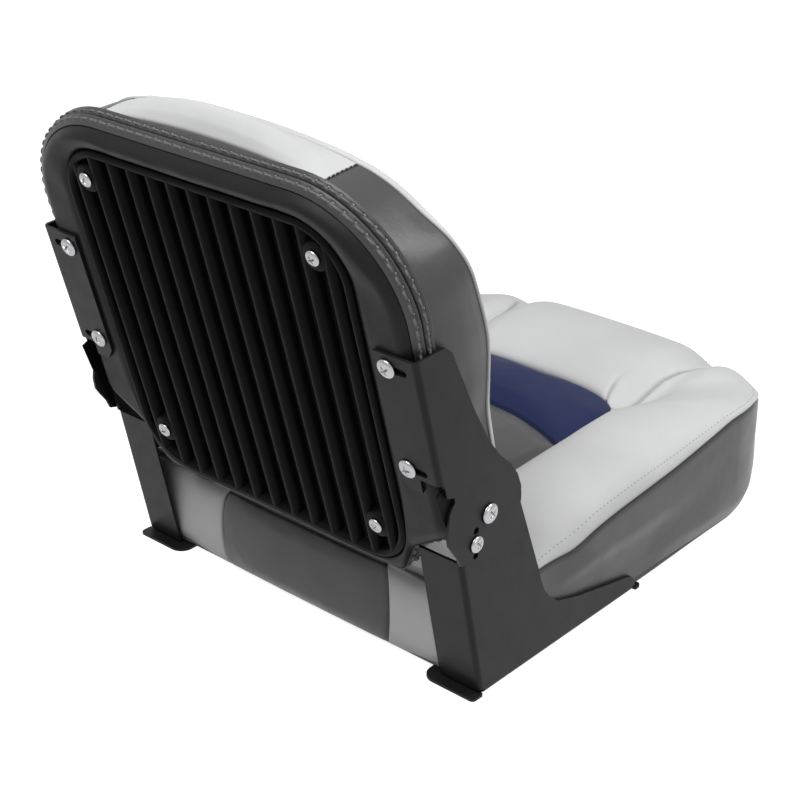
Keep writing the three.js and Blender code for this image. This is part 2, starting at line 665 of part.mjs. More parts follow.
/** The slot in a flange that lets the bracket shift sideways at a screw. */
function flangeSlot(height) {
  const half = flangeScrew.shankRadius + gap;
  const from = flangeScrewX;
  const to = flangeScrewX + upperFlange.slotReach;
  const round = half * slotRoundShare;
  const outline = [
    [from - half, height - half, round], [to + half, height - half, round],
    [to + half, height + half, round], [from - half, height + half, round],
  ];
  const shape = shapeOf(roundedOutline(outline, facets.arc / 2));
  return forward(shape, upperFlange.rear + overrun, sheet.thickness + 2 * overrun);
}

addPair(backFrame, 'upper_bracket', upperBracket(), blackSteel);

// Hinge washers, pivots and stops

/** Black nylon plate that keeps the two steel plates apart. */
function hingeWasherPlate() {
  const outline = washerShares.map(([n, s]) => [n * hingeWasher.depth, s * hingeWasher.height]);
  const through = (radius, place) => (
    rod('x', radius, washerOuterX - washerThickness - overrun, washerOuterX + overrun, place)
  );
  const plate = solid(sideways(shapeOf(outline), washerOuterX - washerThickness, washerThickness));
  return geometryOf(cutAll(plate, [
    through(pivot.shankRadius + gap, pivotInBack), through(stop.shankRadius + gap, stopInBack),
  ]));
}

addPair(backFrame, 'hinge_washer', hingeWasherPlate(), blackPlastic);

/** A bolt along X whose head sits on the outside of the upper plate, at (y, z). */
function sideBolt(bolt, [y, z]) {
  const length = upperOuterX + gap - (lowerInnerX - gap - nutThickness);
  return crossScrew({ ...bolt, length }).rotateZ(-Math.PI / 2).translate(upperOuterX + gap, y, z);
}

const nutOuterX = lowerInnerX - gap;
addPair(hingeFrame, 'pivot_bolt', sideBolt(pivot, [pivot.y, pivot.z]), brightSteel);
addPair(
  hingeFrame, 'pivot_nut',
  hexNut(pivot.nutRadius, pivot.shankRadius + gap, nutOuterX, [pivot.y, pivot.z]), brightSteel,
);
addPair(backFrame, 'stop_bolt', sideBolt(stop, stopInBack), brightSteel);
addPair(
  backFrame, 'stop_nut', hexNut(stop.nutRadius, stop.shankRadius + gap, nutOuterX, stopInBack), brightSteel,
);

// Ribbed shell on the rear of the backrest

/** Rounded rectangle of the shell, drawn in by an inset. */
function panelOutline(inset) {
  const half = panel.halfWidth - inset;
  const radius = panel.cornerRadius - inset;
  const corners = [[half, panel.bottom + inset, radius], [half, panel.top - inset, radius]];
  return roundedOutline(bothSides(corners));
}

/** Where the four shell screws sit, as [x, s]. */
function panelScrewPlaces() {
  const { screwX, screwTop, screwBottom } = panel;
  return [screwTop, screwBottom].flatMap((height) => [[-screwX, height], [screwX, height]]);
}

/** Moulded panel with a raised rim, upright round ribs and a boss at each screw. */
function ribbedPanel() {
  const thick = rib.depth + panel.floor;
  const tray = solid(forward(shapeOf(panelOutline(0)), 0, thick));
  const pocket = solid(forward(shapeOf(panelOutline(panel.rimWidth)), overrun, rib.depth + overrun));
  const bars = Array.from({ length: rib.count }, (_, index) => {
    const x = (index - (rib.count - 1) / 2) * rib.pitch;
    const crest = new THREE.Shape();
    crest.moveTo(x - rib.width / 2, -rib.depth - weld);
    crest.lineTo(x + rib.width / 2, -rib.depth - weld);
    crest.absellipse(x, -rib.depth, rib.width / 2, rib.depth, 0, Math.PI, false, 0);
    const geometry = new THREE.ExtrudeGeometry(crest, {
      depth: panel.top - panel.bottom - 2 * weld, bevelEnabled: false, curveSegments: facets.arc,
    });
    return solid(geometry.translate(0, 0, panel.bottom + weld));
  });
  const bosses = panelScrewPlaces().map((place) => (
    solid(rod('y', panel.bossRadius, -rib.depth - weld, 0, place, facets.round))
  ));
  const inside = bars.concat(bosses).reduce((all, one) => all.add(one));
  const keep = solid(forward(shapeOf(panelOutline(weld)), 0, thick));
  const holes = panelScrewPlaces().map((place) => (
    rod('y', panelScrew.shankRadius + gap, -thick - overrun, overrun, place)
  ));
  return geometryOf(cutAll(tray.subtract(pocket).add(inside.intersect(keep)), holes));
}

add(backFrame, 'ribbed_panel', ribbedPanel(), blackPlastic);

addEach(
  backFrame, 'panel_screw', crossScrew(panelScrew),
  panelScrewPlaces().map(([x, s]) => [x, gap, s]), brightSteel,
);

/** Where the four bracket screws sit on the backrest, as [x, s]. */
function bracketScrewPlaces() {
  return flangeScrewPlaces().flatMap((s) => [[-flangeScrewX, s], [flangeScrewX, s]]);
}

addEach(
  backFrame, 'bracket_screw', crossScrew(flangeScrew),
  bracketScrewPlaces().map(([x, s]) => [x, upperFlange.rear + gap, s]), brightSteel,
);

// Board, facing and band of the backrest

/** The backrest's outline, grown or drawn in by an offset. */
function backOutline(offset) {
  const at = (x, s, radius, hollow = false) => [x + offset, s, hollow ? radius - offset : radius + offset];
  return roundedOutline(bothSides([
    at(back.tongueHalfWidth, back.bottom - offset, back.lowRadius),
    at(back.waistHalfWidth, back.waistHeight - offset, back.waistRadius, true),
    at(back.halfWidth, back.shoulderHeight - offset, back.lowRadius),
    at(back.halfWidth, back.top + offset, back.cornerRadius),
  ]), facets.arc / 2);
}

const boardRear = facing.front + gap;
const boardFront = boardRear + backBoard.thickness;

/** Plywood behind the foam, drilled for the shell's screws and the brackets' tee nuts. */
function backBoardBody() {
  const board = solid(forward(shapeOf(backOutline(-backBoard.inset)), -boardRear, backBoard.thickness));
  const drill = (radius) => (place) => rod('y', radius, -boardFront - overrun, -boardRear + overrun, place);
  return geometryOf(cutAll(board, [
    ...panelScrewPlaces().map(drill(panelScrew.shankRadius + gap)),
    ...bracketScrewPlaces().map(drill(teeNut.barrelRadius + gap)),
  ]));
}

add(backFrame, 'back_board', backBoardBody(), plywood);

addEach(
  backFrame, 'back_tee_nut', teeNutBody().rotateX(Math.PI / 2),
  bracketScrewPlaces().map(([x, s]) => [x, -boardFront - gap, s]), brightSteel,
);

/** Padded facing round the shell, with its rear edge rounded to the seam. */
function backFacing() {
  const shape = shapeOf(backOutline(-facing.round));
  const bevel = {
    bevelEnabled: true, bevelThickness: facing.round, bevelSize: facing.round, bevelOffset: 0,
    bevelSegments: facets.bevel,
  };
  const depth = facing.front - facing.rear;
  const puffed = solid(forward(shape, -facing.rear - facing.round, depth, bevel));
  const slice = solid(forward(shapeOf(backOutline(overrun)), -facing.rear, depth));
  const opening = forward(shapeOf(panelOutline(-gap)), overrun, facing.front + 2 * overrun);
  const holes = bracketScrewPlaces().map((place) => (
    rod('y', flangeScrew.shankRadius + gap, -facing.front - overrun, overrun, place)
  ));
  return geometryOf(cutAll(puffed.intersect(slice), [opening, ...holes]));
}

add(backFrame, 'back_facing', backFacing(), charcoalVinyl);

/** Two half-round strips sewn together round the edge of the backrest. */
function backBand() {
  const points = spaced(backOutline(0), back.cornerRadius / 4);
  const inner = -backBoard.inset + gap;
  const sections = points.map(([x, s, nx, ns]) => {
    const bulge = band.bulge * shareAt(bandBulgeShares, s / back.top);
    const outer = bandShares.map(([out, deep]) => [
      gap + bulge * out, -band.seam - (band.border - band.seam) * deep,
    ]);
    return {
      profile: [
        [gap, -band.seam], ...outer, [inner, -band.border], [inner, -boardRear - gap],
        [gap, -boardRear - gap],
      ],
      put: (d, n) => [x + nx * d, n, s + ns * d],
    };
  });
  return loft(sections, true);
}

add(backFrame, 'back_band', backBand(), charcoalVinyl);

// Cushions: a roll round three sides, an insert in two pieces and a wall round the edge

/**
 * Half of a cushion's edge from its open end to the middle of its closed end. Each point is
 * [x, l, nx, nl]: its place across and along the cushion, and its outward normal.
 */
function cushionEdge(pad, sideShares, widthShares = [[0, 1], [1, 1]]) {
  const gain = pad.halfWidth - pad.openHalfWidth;
  const corner = { x: pad.halfWidth - pad.cornerRadius, l: pad.length - pad.cornerRadius };
  const side = sideShares.map((share, index) => {
    const before = sideShares[Math.max(index - 1, 0)];
    const after = sideShares[Math.min(index + 1, sideShares.length - 1)];
    const widening = gain * (shareAt(widthShares, after) - shareAt(widthShares, before));
    const normal = new THREE.Vector2(pad.length * (after - before), -widening).normalize();
    const x = pad.openHalfWidth + gain * shareAt(widthShares, share);
    return [x, share * pad.length, normal.x, normal.y];
  });
  const arc = Array.from({ length: facets.corner }, (_, step) => {
    const angle = ((step + 1) / facets.corner) * (Math.PI / 2);
    const [nx, nl] = [Math.cos(angle), Math.sin(angle)];
    return [corner.x + pad.cornerRadius * nx, corner.l + pad.cornerRadius * nl, nx, nl];
  });
  const end = Array.from({ length: facets.end }, (_, step) => {
    const share = 1 - (step + 1) / facets.end;
    return [corner.x * share, pad.length + pad.endBow * (1 - share * share), 0, 1];
  });
  return [...side, ...arc, ...end];
}

/** Half of the insert's edge, one point for each point of the cushion's edge. */
function insertEdge(pad, edge, sideCount) {
  const from = edge[sideCount - 1][1];
  return edge.map(([, l], index) => {
    if (index < sideCount) return [pad.insertHalfWidth, (l / from) * pad.insertCorner];
    const angle = ((index - sideCount + 1) / (edge.length - sideCount)) * (Math.PI / 2);
    return [
      pad.insertHalfWidth * Math.cos(angle) ** powers.insertCorner,
      pad.insertCorner + pad.insertDepth * Math.sin(angle) ** powers.insertCorner,
    ];
  });
}

/** A whole edge from its half: both sides, without doubling the middle. */
function wholeEdge(half) {
  const other = half.slice(0, -1).reverse().map(([x, l, nx, nl]) => [-x, l, -nx, nl]);
  return [...half, ...other];
}

/** The edge drawn in by an inset. */
function insetEdge(half, inset) {
  return wholeEdge(half).map(([x, l, nx, nl]) => [x - nx * inset, l - nl * inset]);
}

/** How far a valley of the roll sinks at a place on the cushion and a share of its full depth. */
function valleyAt(pad, x, l, fade) {
  const offside = (Math.abs(x) - pad.insertHalfWidth - valley.past) / valley.width;
  const along = THREE.MathUtils.smoothstep(l, valley.from, valley.full);
  return valley.depth * Math.exp(-offside * offside) * along * fade;
}

/**
 * A soft roll between the insert's edge and the cushion's edge. It swells past that edge by
 * swell(point) and sinks by sink(x, l, share of the full depth).
 */
function roll(pad, half, inner, { swell, sink = () => 0 }, { seam, crown, insertSeam }, place) {
  const innerEdge = wholeEdge(inner);
  const ledge = pad.wall + seamGap;
  const sections = wholeEdge(half).map((point, index) => {
    const [x, l, nx, nl] = point;
    const out = swell(point);
    const [ox, ol] = [x + nx * out, l + nl * out];
    const [ix, il] = innerEdge[index];
    const wide = Math.hypot(ox - ix, ol - il);
    const share = l / pad.length;
    const low = pad.depth * shareAt(insertSeam, il / (pad.insertCorner + pad.insertDepth));
    const high = pad.depth * shareAt(seam, share);
    const top = pad.depth * shareAt(crown, share);
    const arch = Array.from({ length: facets.crown + 1 }, (_, step) => {
      const angle = (Math.PI * step) / facets.crown;
      const base = angle < Math.PI / 2 ? low : high;
      const across = (1 - Math.cos(angle)) / 2;
      const rise = Math.max(top - base, 0) * Math.sin(angle) ** powers.roll;
      const fade = Math.min(Math.sin(angle) * 2, 1);
      const down = sink(ix + (ox - ix) * across, il + (ol - il) * across, fade);
      return [wide * across, base + rise - down];
    });
    return {
      profile: [[0, pad.base], ...arch, [wide - ledge, pad.base, ledge]],
      put: (u, h, inset) => (inset
        ? place(x - nx * inset, l - nl * inset, h)
        : place(ix + ((ox - ix) * u) / wide, il + ((ol - il) * u) / wide, h)),
    };
  });
  return loft(sections);
}

/** A piece of the insert between two curves across it, given as lengths at a share of its width. */
function insertPiece(pad, from, to, insertSeam, place, steps) {
  const half = pad.insertHalfWidth - gap;
  const long = pad.insertCorner + pad.insertDepth;
  const sections = Array.from({ length: 2 * facets.crown + 1 }, (_, column) => {
    const share = Math.sin(((column - facets.crown) / facets.crown) * (Math.PI / 2));
    const top = Array.from({ length: steps + 1 }, (_none, step) => {
      const along = (1 - Math.cos((Math.PI * step) / steps)) / 2;
      const l = from(share) + (to(share) - from(share)) * along;
      const swell = (Math.sin(Math.PI * along) * (1 - share * share)) ** powers.insert;
      return [l, pad.depth * shareAt(insertSeam, l / long) + pad.insertCrown * swell];
    });
    return {
      profile: [[from(share), pad.base], ...top, [to(share), pad.base]],
      put: (l, h) => place(share * half, l, h),
    };
  });
  return loft(sections);
}

/** Length of the insert's rounded closed end at a share of its width. */
function insertEnd(pad, share) {
  const round = Math.max(1 - Math.abs(share) ** powers.insertEnd, 0) ** (1 / powers.insertEnd);
  return pad.insertCorner - gap + (pad.insertDepth - gap) * round;
}

/** Length of the seam between the insert's two pieces at a share of its width. */
function insertSplit(pad, share) {
  return pad.split + pad.splitBow * (1 - share * share);
}

/** Adds the charcoal and navy pieces of a cushion's insert. */
function addInsert(parent, names, pad, insertSeam, place) {
  const split = (share) => insertSplit(pad, share);
  const end = (share) => insertEnd(pad, share);
  const beforeSplit = (share) => split(share) - gap;
  const rear = insertPiece(pad, () => 0, beforeSplit, insertSeam, place, facets.insertRear);
  const front = insertPiece(pad, split, end, insertSeam, place, facets.insertFront);
  add(parent, names[0], rear, charcoalVinyl);
  add(parent, names[1], front, navyVinyl);
}

// Seat cushion

const onSeat = (x, l, h) => [x, -seatPad.rear - l, h];
const seatHalf = cushionEdge(seatPad, seatSideShares);
const seatInner = insertEdge(seatPad, seatHalf, seatSideShares.length);
const seatSwell = ([, l]) => boxing.highSwell * shareAt(highSwellShares, l / seatPad.length);
const seatValley = (x, l, fade) => valleyAt(seatPad, x, l, fade);
add(
  cushionFrame, 'seat_bolster',
  roll(seatPad, seatHalf, seatInner, { swell: seatSwell, sink: seatValley }, {
    seam: seatSeamShares, crown: seatCrownShares, insertSeam: seatInsertShares,
  }, onSeat),
  lightVinyl,
);
addInsert(cushionFrame, ['seat_insert_rear', 'seat_insert_front'], seatPad, seatInsertShares, onSeat);

/** Charcoal wall round the sides and front of the seat cushion. */
function seatBoxing() {
  const sections = wholeEdge(seatHalf).map((point) => {
    const [x, l, nx, nl] = point;
    const share = l / seatPad.length;
    const high = seatSwell(point);
    const low = boxing.lowSwell * shareAt(lowSwellShares, share);
    const top = seatPad.depth * shareAt(seatSeamShares, share) - seamGap;
    const middle = seatPad.armTop + (top - seatPad.armTop) * boxingShares.middle;
    const edgeRound = seatPad.wall / 2;
    return {
      profile: [
        [-seatPad.wall, seatPad.lowEdge], [-edgeRound, seatPad.lowEdge],
        [low * boxingShares.foot, seatPad.lowEdge + edgeRound], [low, seatPad.armTop * boxingShares.low],
        [low + (high - low) * boxingShares.bend, seatPad.armTop], [high, middle], [high, top],
        [-seatPad.wall, seatPad.base],
      ],
      put: (d, h) => onSeat(x + nx * d, l + nl * d, h),
    };
  });
  return loft(sections);
}

add(cushionFrame, 'seat_boxing', seatBoxing(), charcoalVinyl);

/** Plan of the seat's board or foam, drawn in from the cushion's edge. */
function seatPlan(inset) {
  return insetEdge(seatHalf, inset).map(([x, l]) => [x, -seatPad.rear - l]);
}

/** Centres of the four pedestal bolts, in the cushion frame. */
function pedestalPlaces() {
  const half = pedestalPattern / 2;
  return [-half, half].flatMap((x) => [-half, half].map((y) => [x, y - placing.bracketRear]));
}

/** Centres of the four foot screws, in the cushion frame. */
function footScrewPlaces() {
  const x = lowerOuterX - footScrew.inset;
  return footScrewShares.flatMap((share) => [[-x, share * leg.length], [x, share * leg.length]]);
}

/** Base board, drilled for the pedestal and foot tee nuts. */
function seatBoardBody() {
  const board = solid(upward(shapeOf(seatPlan(seatBoard.inset)), 0, seatBoard.thickness));
  return geometryOf(cutAll(board, [...pedestalPlaces(), ...footScrewPlaces()].map((place) => (
    rod('z', teeNut.barrelRadius + gap, -overrun, seatBoard.thickness + overrun, place)
  ))));
}

add(cushionFrame, 'seat_board', seatBoardBody(), plywood);

const onBoard = ([x, y]) => [x, y, seatBoard.thickness + gap];
addEach(cushionFrame, 'pedestal_tee_nut', teeNutBody(), pedestalPlaces().map(onBoard), brightSteel);
addEach(cushionFrame, 'foot_tee_nut', teeNutBody(), footScrewPlaces().map(onBoard), brightSteel);
addEach(
  cushionFrame, 'foot_screw', countersunkScrew(footScrew),
  footScrewPlaces().map(([x, y]) => [x, y, footBottom]), brightSteel,
);

const seatFoamBase = seatBoard.thickness + teeNut.flangeThickness + 2 * gap;
const seatFoamPlan = shapeOf(seatPlan(seatPad.wall + gap));
const seatFoam = upward(seatFoamPlan, seatFoamBase, seatPad.foamTop - seatFoamBase);
add(cushionFrame, 'seat_foam', seatFoam, foam);

/** A panel of the seat's rear wall between two places on X, swelling to the rear. */
function rearWall(fromX, toX) {
  const columns = Array.from({ length: facets.wallColumns }, (_, step) => (
    fromX + ((toX - fromX) * step) / (facets.wallColumns - 1)
  ));
  const rows = Array.from({ length: facets.wallRows }, (_, step) => {
    const angle = (Math.PI * step) / (facets.wallRows - 1);
    return [(1 - Math.cos(angle)) / 2, Math.sin(angle) ** powers.rearWall];
  });
  const start = -seatPad.rear + gap;
  const sections = columns.map((x) => ({
    profile: rows.map(([high, out]) => [
      start + rearPanel.thickness * (rearFlatShare + (1 - rearFlatShare) * out),
      seatPad.lowEdge + (rearPanel.top - seatPad.lowEdge) * high,
    ]).concat([[start, rearPanel.top], [start, seatPad.lowEdge]]),
    put: (y, z) => [x, y, z],
  }));
  return loft(sections);
}

add(cushionFrame, 'seat_rear_panel', rearWall(-rearPanel.halfWidth, rearPanel.halfWidth), charcoalVinyl);
const rearSide = rearWall(rearPanel.halfWidth + gap, rearPanel.outerHalfWidth);
addPair(cushionFrame, 'seat_rear_side_panel', rearSide, lightVinyl);

// Backrest cushion

const onBack = (x, l, h) => [x, -h, backPad.bottom + l];
const backHalf = cushionEdge(backPad, backSideShares, backWidthShares);
const backInner = insertEdge(backPad, backHalf, backSideShares.length);
const domeShare = (x) => Math.max(1 - (x / domeHalfWidth) ** 2, 0);
const rimBulge = ([x, l]) => (
  rim.bulge * shareAt(rimBulgeShares, l / backPad.length) + rim.domeBulge * domeShare(x)
);
const rimWelt = ([x, l]) => (
  rim.welt * shareAt(rimWeltShares, l / backPad.length) + rim.domeWelt * domeShare(x)
);
add(
  backFrame, 'back_bolster',
  roll(backPad, backHalf, backInner, { swell: rimWelt }, {
    seam: backSeamShares, crown: backCrownShares, insertSeam: backInsertShares,
  }, onBack),
  lightVinyl,
);
addInsert(backFrame, ['back_insert_lower', 'back_insert_upper'], backPad, backInsertShares, onBack);

/** Section of the rim wall at one point of the edge, from the band's border to the welt. */
function rimSection([x, l, nx, nl]) {
  const bulge = rimBulge([x, l]);
  const welt = rimWelt([x, l]);
  const high = backPad.depth * shareAt(backSeamShares, l / backPad.length) - seamGap;
  const outer = rimSectionShares.map(([out, deep]) => [
    bulge * out + welt * deep, backPad.border + (high - backPad.border) * deep,
  ]);
  const inner = gap - backPad.wall;
  return {
    profile: [...outer, [inner, backPad.base], [inner, backPad.border]],
    put: (d, h) => onBack(x + nx * d, l + nl * d, h),
  };
}

/** Rim wall over the stretch of the edge between two of its points, drawn in at both ends. */
function rimWall(first, last) {
  const points = wholeEdge(backHalf).slice(first, last + 1);
  const drawnIn = (point, next) => {
    const share = gap / Math.hypot(next[0] - point[0], next[1] - point[1]);
    return point.map((value, axis) => value + (next[axis] - value) * share);
  };
  const inner = points.slice(1, -1);
  const ends = [drawnIn(points[0], inner[0]), drawnIn(points[points.length - 1], inner[inner.length - 1])];
  return loft([ends[0], ...inner, ends[1]].map(rimSection));
}

const rimLast = 2 * backHalf.length - 2;
const rimTop = backSideShares.length + rim.cornerPoints;
add(backFrame, 'back_side_panel_left', rimWall(0, rimTop), charcoalVinyl);
add(backFrame, 'back_top_panel', rimWall(rimTop, rimLast - rimTop), lightVinyl);
add(backFrame, 'back_side_panel_right', rimWall(rimLast - rimTop, rimLast), charcoalVinyl);

/** Panel that closes the open end of the backrest below the foam. */
function backEndPanel() {
  const half = backPad.openHalfWidth;
  const high = backPad.bottom - gap;
  const low = high - rim.endThickness;
  const deep = backPad.depth * shareAt(backSeamShares, 0) - seamGap - backPad.border;
  return forward(shapeOf([[-half, low], [half, low], [half, high], [-half, high]]), -backPad.border, deep);
}

add(backFrame, 'back_end_panel', backEndPanel(), charcoalVinyl);

/** Foam core between the board and the covers. */
function backFoam() {
  const outline = insetEdge(backHalf, backPad.wall + seamGap + gap).map(([x, l]) => [x, backPad.bottom + l]);
  const start = boardFront + teeNut.flangeThickness + 3 * gap;
  return forward(shapeOf(outline), -start, backPad.foamTop - start);
}

add(backFrame, 'back_foam', backFoam(), foam);

export default seat;
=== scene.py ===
"""A folding boat seat dressed for rendering: vinyl covers, stitches, hinges, ribbed shell, screws."""

from __future__ import annotations

import logging
import math
from dataclasses import dataclass, field
from enum import Enum
from typing import Callable, Sequence

import bmesh
import bpy
import numpy as np
from bpy.types import ID, Material, Mesh, Node, NodeSocket, NodeTree, Object
from mathutils import Matrix, Vector

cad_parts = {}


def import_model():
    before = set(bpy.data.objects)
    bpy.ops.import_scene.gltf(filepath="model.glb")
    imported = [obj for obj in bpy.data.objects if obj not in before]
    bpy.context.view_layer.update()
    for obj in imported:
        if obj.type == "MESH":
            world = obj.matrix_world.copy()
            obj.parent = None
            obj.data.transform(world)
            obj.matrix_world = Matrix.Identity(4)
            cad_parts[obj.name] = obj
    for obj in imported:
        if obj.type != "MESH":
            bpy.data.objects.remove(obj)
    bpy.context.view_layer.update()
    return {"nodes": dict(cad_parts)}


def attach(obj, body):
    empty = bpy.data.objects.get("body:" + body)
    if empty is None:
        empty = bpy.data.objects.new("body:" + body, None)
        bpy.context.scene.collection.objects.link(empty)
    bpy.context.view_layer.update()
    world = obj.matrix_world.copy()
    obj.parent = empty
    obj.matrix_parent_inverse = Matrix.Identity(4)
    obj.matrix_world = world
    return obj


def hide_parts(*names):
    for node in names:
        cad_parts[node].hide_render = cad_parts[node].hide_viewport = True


MM = 0.001
Array = np.ndarray
Table = Sequence[tuple[float, float]]
Color = tuple[float, float, float]
Place = Callable[[Array, Array, Array], Array]
TINY = 1e-6
log = logging.getLogger("boat_seat")


class Body(Enum):
    """The two bodies that the fold joins."""

    BASE = "base"
    BACKREST = "backrest"


# Curves and places


def eased(table: Table, places: Array) -> Array:
    """Read a table of places and values with a smooth curve that doesn't overshoot its rows.

    Args:
        table: Rows of (place, value), rising in place.
        places: Where to read it.
    Returns:
        The values there.
    """
    x = np.array([row[0] for row in table], float)
    y = np.array([row[1] for row in table], float)
    h = np.diff(x)
    slope = np.diff(y) / h
    tangent = np.zeros_like(y)
    tangent[0], tangent[-1] = slope[0], slope[-1]
    if len(x) > 2:
        w1, w2 = 2 * h[1:] + h[:-1], h[1:] + 2 * h[:-1]
        same = slope[:-1] * slope[1:] > 0
        safe0 = np.where(same, slope[:-1], 1.0)
        safe1 = np.where(same, slope[1:], 1.0)
        tangent[1:-1] = np.where(same, (w1 + w2) / (w1 / safe0 + w2 / safe1), 0.0)
    q = np.clip(np.asarray(places, float), x[0], x[-1])
    i = np.clip(np.searchsorted(x, q, side="right") - 1, 0, len(h) - 1)
    t = (q - x[i]) / h[i]
    h00, h10 = 2 * t**3 - 3 * t**2 + 1, t**3 - 2 * t**2 + t
    h01, h11 = -2 * t**3 + 3 * t**2, t**3 - t**2
    return h00 * y[i] + h10 * h[i] * tangent[i] + h01 * y[i + 1] + h11 * h[i] * tangent[i + 1]


def bell(values: Array, middle: float, width: float) -> Array:
    """A smooth bump of height one round a middle."""
    return np.exp(-(((values - middle) / width) ** 2))


@dataclass(frozen=True)
class Lie:
    """How the cushion and the backrest lie in the object's frame, in millimetres."""

    tilt: float = math.radians(14.8)
    back_y: float = 246.5
    feet_z: float = -2.9
    seat_rear: float = 234.8
    back_bottom: float = 112.0

    def seat(self, x: Array, along: Array, high: Array) -> Array:
        """A point of the cushion from its place across, forward of its rear and up, in metres."""
        return np.stack(np.broadcast_arrays(x, self.seat_rear - along, high), -1) * MM

    def shell(self, x: Array, out: Array, up: Array) -> Array:
        """Points of the backrest, measured from the crests of its ribs.

        Args:
            x: Place across.
            out: Place behind the crests.
            up: Place up the backrest.
        Returns:
            The points in metres.
        """
        c, s = math.cos(self.tilt), math.sin(self.tilt)
        y = self.back_y + out * c + up * s
        z = self.feet_z - out * s + up * c
        return np.stack(np.broadcast_arrays(x, y, z), -1) * MM

    def back(self, x: Array, along: Array, high: Array) -> Array:
        """A point of the backrest's cushion from its place across, up and forward, in metres."""
        return self.shell(x, -np.asarray(high, float), self.back_bottom + along)

    def rear(self) -> Vector:
        """The direction out of the ribbed shell."""
        return Vector((0.0, math.cos(self.tilt), -math.sin(self.tilt)))

    def up(self) -> Vector:
        """The direction up the backrest."""
        return Vector((0.0, math.sin(self.tilt), math.cos(self.tilt)))


LIE = Lie()
CORES = {Body.BASE: np.array((0.0, 0.0, 0.06)), Body.BACKREST: LIE.shell(0.0, -45.0, 300.0)}


# Finishes


class Shader:
    """Builds one node material step by step."""

    def __init__(self, name: str) -> None:
        """Start a material with a Principled surface.

        Args:
            name: The material's name.
        """
        self.material = bpy.data.materials.new(name)
        self.material.use_nodes = True
        self.tree = self.material.node_tree
        self.surface = self.tree.nodes["Principled BSDF"]
        self.coords = self.tree.nodes.new("ShaderNodeTexCoord").outputs["Object"]

    def finished(self, **inputs: object) -> Material:
        """Feed the surface's inputs.

        Args:
            inputs: Values or sockets, named with underscores for spaces.
        Returns:
            The material.
        """
        for key, value in inputs.items():
            self.feed(self.surface.inputs[key.replace("_", " ")], value)
        return self.material

    def node(self, kind: str, settings: dict[str, object] | None = None, **links: object) -> Node:
        """Add a node.

        Args:
            kind: The node's type.
            settings: Its own properties.
            links: Values or sockets for its inputs, named with underscores for spaces.
        Returns:
            The node.
        """
        made = self.tree.nodes.new(kind)
        for key, value in (settings or {}).items():
            setattr(made, key, value)
        for key, value in links.items():
            self.feed(made.inputs[key.replace("_", " ")], value)
        return made

    def feed(self, socket: NodeSocket, value: object) -> None:
        """Link a socket to an output, or set its value.

        Args:
            socket: The input.
            value: The output or the value.
        """
        if isinstance(value, NodeSocket):
            self.tree.links.new(value, socket)
        else:
            socket.default_value = value

    def noise(self, scale: float, detail: float = 3.0,
              stretch: Sequence[float] | None = None) -> NodeSocket:
        """A noise pattern on the object's own coordinates.

        Args:
            scale: How fine it is.
            detail: How many finer layers it has.
            stretch: Its scale on each axis.
        Returns:
            The pattern.
        """
        vector = self.coords
        if stretch is not None:
            vector = self.node("ShaderNodeMapping", Vector=vector, Scale=stretch).outputs["Vector"]
        return self.node("ShaderNodeTexNoise", Vector=vector, Scale=scale, Detail=detail).outputs["Fac"]

    def ranged(self, value: NodeSocket, low: float, high: float) -> NodeSocket:
        """Map a pattern from 0.3 to 0.7 onto a range.

        Args:
            value: The pattern.
            low: Start of the range.
            high: End of the range.
        Returns:
            The mapped pattern.
        """
        made = self.node("ShaderNodeMapRange", From_Min=0.3, From_Max=0.7, To_Min=low, To_Max=high,
                         Value=value)
        return made.outputs["Result"]

    def bump(self, height: NodeSocket, strength: float, distance: float,
             under: NodeSocket | None = None) -> NodeSocket:
        """A bump of a height pattern.

        Args:
            height: The pattern.
            strength: Its strength, from 0 to 1.
            distance: Its height in metres.
            under: The bumped normal below it.
        Returns:
            The bumped normal.
        """
        made = self.node("ShaderNodeBump", Height=height, Strength=strength, Distance=distance)
        if under is not None:
            self.feed(made.inputs["Normal"], under)
        return made.outputs["Normal"]

    def mixed(self, amount: object, first: object, second: object, blend: str = "MIX") -> NodeSocket:
        """Mix two colours, or sockets of colours.

        Args:
            amount: Share of the second one.
            first: The first one.
            second: The second one.
            blend: How they mix.
        Returns:
            The mixed colour.
        """
        made = self.node("ShaderNodeMix", {"data_type": "RGBA", "blend_type": blend})
        for index, value in ((0, amount), (6, first), (7, second)):
            self.feed(made.inputs[index], (*value, 1.0) if isinstance(value, tuple) else value)
        return made.outputs[2]

    def attribute(self, name: str) -> NodeSocket:
        """A number stored on the mesh."""
        return self.node("ShaderNodeAttribute", {"attribute_name": name}).outputs["Fac"]


def tone(color: Color, share: float, lift: float = 0.0) -> Color:
    """A colour times a share, raised a little."""
    return tuple(min(c * share + lift, 1.0) for c in color)


@dataclass(frozen=True)
class Bump:
    """A noise that bumps a surface, its distance in metres."""

    scale: float
    detail: float
    strength: float
    distance: float

    def over(self, shader: Shader, under: NodeSocket | None) -> NodeSocket:
        """The bumped normal, on top of another one if given."""
        return shader.bump(shader.noise(self.scale, self.detail), self.strength, self.distance, under)


